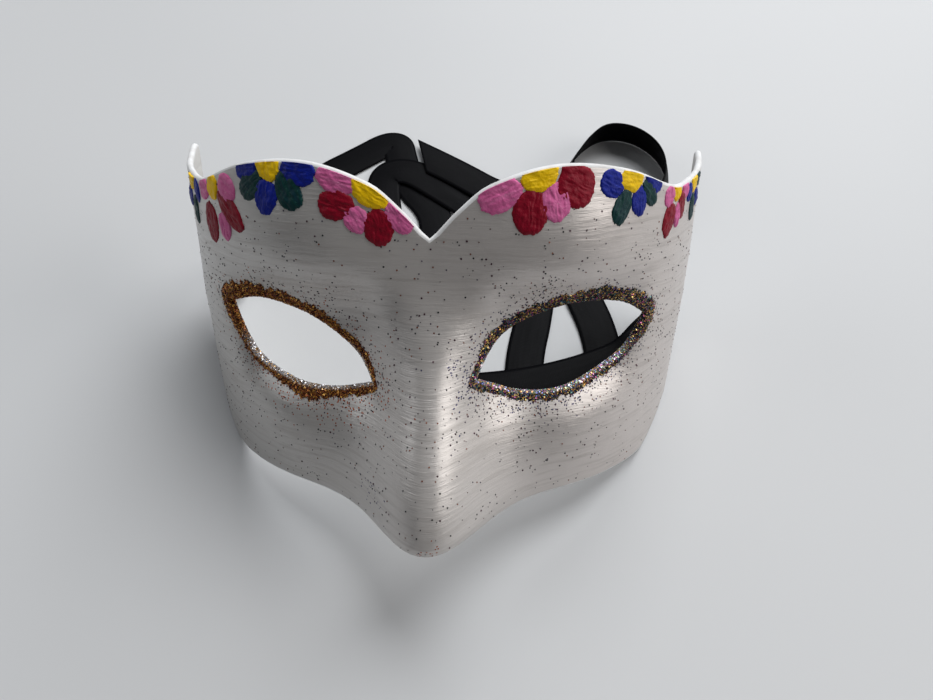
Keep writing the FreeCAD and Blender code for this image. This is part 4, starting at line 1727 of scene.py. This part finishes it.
def flower_bed(form: MaskForm) -> list:
    """The eight flowers, from the notch outwards on each side."""
    pink, crimson, blue, green = Paint.PINK, Paint.CRIMSON, Paint.BLUE, Paint.GREEN
    rows = [
        ("left_1", -8.0, 42.0, (11.4, 7.0, -32),
         [(pink, -8.6, 3.2, 11.0, 6.8, -14), (crimson, -8.6, -2.9, 9.8, 7.6, -10),
          (pink, -3.6, -6.2, 6.6, 7.2, 40), (crimson, 2.2, -8.0, 8.0, 9.6, 10),
          (pink, 7.6, -5.4, 9.4, 7.0, -48)]),
        ("left_2", -26.3, 47.3, (7.8, 8.2, 0),
         [(blue, -7.9, -0.6, 8.8, 7.0, 10), (green, -6.3, -4.8, 10.2, 7.4, 38),
          (blue, -1.2, -7.4, 7.4, 9.6, -15), (green, 6.2, -5.4, 7.8, 10.4, 30),
          (blue, 9.1, -0.4, 10.6, 7.2, -5)]),
        ("left_3", -43.8, 39.4, (6.0, 8.4, 0),
         [(pink, -6.1, -0.8, 6.8, 6.6, 0), (crimson, -2.6, -9.6, 8.0, 12.4, 4),
          (pink, 5.2, -9.8, 5.6, 8.4, 8), (crimson, 8.6, -5.0, 14.0, 7.0, -40),
          (pink, 7.6, 1.2, 8.6, 7.6, -20)]),
        ("left_4", -57.0, 39.2, (6.4, 6.4, 0),
         [(blue, 5.4, -2.0, 4.8, 7.0, 20), (green, 1.6, -8.4, 5.6, 9.0, 8),
          (blue, -5.4, -5.0, 5.0, 7.4, -30)]),
        ("right_1", 16.0, 45.9, (10.4, 7.0, 14),
         [(pink, -9.8, -3.6, 13.0, 8.0, 24), (crimson, -2.2, -7.8, 9.4, 11.2, -5),
          (pink, 4.6, -5.4, 8.2, 9.8, 12), (crimson, 9.8, -1.6, 11.6, 11.0, -25)]),
        ("right_2", 34.8, 44.6, (8.0, 7.6, -10),
         [(blue, -6.6, -0.4, 8.4, 7.4, -20), (green, -3.0, -6.6, 6.0, 10.0, -22),
          (blue, 3.1, -5.6, 5.8, 8.2, 6), (green, 7.0, -3.9, 5.6, 8.4, 40),
          (blue, 8.8, -0.8, 8.2, 6.4, -38)]),
        ("right_3", 50.5, 38.8, (4.8, 6.0, 0),
         [(pink, -4.4, -0.4, 5.4, 6.4, 0), (crimson, -3.4, -6.8, 7.0, 10.4, -14),
          (pink, 1.6, -6.4, 4.2, 7.4, 0), (crimson, 4.4, -3.8, 5.4, 8.6, 10),
          (pink, 6.4, 0.4, 5.0, 6.0, 0)]),
        ("right_4", 61.5, 39.6, (6.4, 6.4, 0),
         [(green, 5.2, 1.2, 5.4, 5.0, 0), (blue, -4.4, -1.8, 5.2, 6.0, -20),
          (green, 0.8, -6.8, 5.6, 9.0, 4), (blue, 5.8, -4.6, 4.6, 6.4, 30)]),
    ]
    return [PaintedFlower(form, name, turn, height, middle, tuple(Petal(*dab) for dab in dabs))
            for name, turn, height, middle, dabs in rows]


# ---- the patches ---------------------------------------------------------------------------


@dataclass
class GluedPatch:
    """A small cloth patch that holds the ribbon's end to the inside of its wing."""

    form: MaskForm
    side: str
    sign: int
    turn: float = 70.0
    height: float = 7.0
    wide: float = 18.0
    tall: float = 13.0
    thick: float = 1.1
    edge_thick: float = 0.35
    overlap: float = 0.1
    cells: tuple = (22, 16)

    def build(self, cloth: bpy.types.Material) -> None:
        """Lays the patch on the inner face, thinner towards its edge.

        Args:
            cloth: its material.
        """
        way = self.form.way_of(self.turn)
        points, maps = [], []
        columns, rows = self.cells
        for top in (True, False):
            for j in range(rows + 1):
                for i in range(columns + 1):
                    u, v = i / columns * 2 - 1, j / rows * 2 - 1
                    s, z = self.sign * (way + u * self.wide / 2), self.height + v * self.tall / 2
                    point, _, _, out = self.form.frame_at(s, z)
                    dome = (1 - u**6) * (1 - v**6)
                    fray = 0.16 * ripple(s / 2, z / 2, 4.0)
                    domed = self.edge_thick + (self.thick - self.edge_thick) * dome + fray
                    lift = self.form.wall + (domed if top else -self.overlap)
                    points.append((point + out * (self.form.hand_wave(s, z) - lift)) * MM)
                    maps.append((s * MM, z * MM))
        line, layer = columns + 1, (columns + 1) * (rows + 1)
        faces = []
        for j in range(rows):
            for i in range(columns):
                a = j * line + i
                faces.append((a, a + line, a + line + 1, a + 1))
                faces.append((layer + a, layer + a + 1, layer + a + line + 1, layer + a + line))
        border = list(range(line)) + [j * line + columns for j in range(1, rows + 1)]
        border += [rows * line + i for i in range(columns - 1, -1, -1)]
        border += [j * line for j in range(rows - 1, 0, -1)]
        for a, b in zip(border, border[1:] + border[:1]):
            faces.append((a, b, layer + b, layer + a))
        if self.sign < 0:
            faces = [tuple(reversed(f)) for f in faces]
        piece = new_object("cloth_patch_" + self.side, points, faces)
        give_uv(piece, "cloth", maps)
        piece.data.materials.append(cloth)
        seat_piece(piece, "patch_cloth", "ribbon_patch_" + self.side)


# ---- making it all -------------------------------------------------------------------------


COPPER = ((0.42, 0.11, 0.015), (0.70, 0.30, 0.05), (0.10, 0.02, 0.01), (0.50, 0.17, 0.03),
          (0.16, 0.03, 0.01), (0.04, 0.012, 0.01), (0.85, 0.46, 0.10), (0.22, 0.05, 0.012))
MIXED = ((0.012, 0.012, 0.014), (0.66, 0.42, 0.10), (0.02, 0.015, 0.02), (0.10, 0.04, 0.14),
         (0.012, 0.012, 0.012), (0.62, 0.30, 0.07), (0.03, 0.05, 0.16), (0.02, 0.02, 0.02),
         (0.75, 0.55, 0.20), (0.015, 0.015, 0.02), (0.07, 0.16, 0.14), (0.30, 0.07, 0.16))
# the next two sets are brighter flake colours that paint glints on the lower lids
GLINT_SILVER = ((0.90, 0.88, 0.86), (0.85, 0.55, 0.25), (0.95, 0.95, 0.98), (0.70, 0.68, 0.72))
GLINT_RAINBOW = ((0.95, 0.85, 0.25), (0.25, 0.70, 0.85), (0.95, 0.95, 0.98), (0.85, 0.30, 0.75),
           (0.35, 0.35, 0.90), (0.55, 0.90, 0.45), (0.92, 0.50, 0.20), (0.90, 0.88, 0.90))
LOOSE = ((0.02, 0.012, 0.012), (0.012, 0.014, 0.035), (0.10, 0.015, 0.012), (0.016, 0.014, 0.014),
         (0.03, 0.02, 0.06), (0.22, 0.06, 0.02), (0.014, 0.02, 0.02), (0.06, 0.012, 0.03))


def main() -> None:
    """Builds the studio, the ribbons and then the mask."""
    logging.basicConfig(level=logging.INFO, format="%(name)s: %(message)s")
    Studio().build()
    satin = SatinFinish().make()
    for ribbon in (right_ribbon(), left_ribbon()):
        ribbon.build(satin)
    form = MaskForm()
    shell = MaskShell(form).build(PearlFinish().make(), GessoFinish().make(),
                                  RimFinish().make())
    scatter = FlakeScatter()
    finishes = {"left": (GlueFinish("glue_copper", COPPER).make(),
                         FlakeFinish("flakes_copper", COPPER, GLINT_SILVER).make()),
                "right": (GlueFinish("glue_mixed", MIXED).make(),
                          FlakeFinish("flakes_mixed", MIXED, GLINT_RAINBOW).make())}
    for eye in EYES:
        GlitterRim(form, eye).build(*finishes[eye.side], scatter)
    dark = FlakeFinish("flakes_loose", LOOSE, GLINT_SILVER, 0.25, 0.4).make()
    loose = scatter.strew("glitter_loose", shell, dark, Flake_Size=0.00046,
                          Flakes_per_m2=2.2e6, Tilt=0.35, Lift=0.00004, Corners=5, Seed=5)
    seat_piece(loose, "glitter_mixed")
    paints = {paint: finish.make() for paint, finish in PAINTS.items()}
    for flower in flower_bed(form):
        flower.build(paints)
    cloth = ClothFinish().make()
    for side, sign in (("left", -1), ("right", 1)):
        GluedPatch(form, side, sign).build(cloth)


if __name__ == "__main__":
    main()
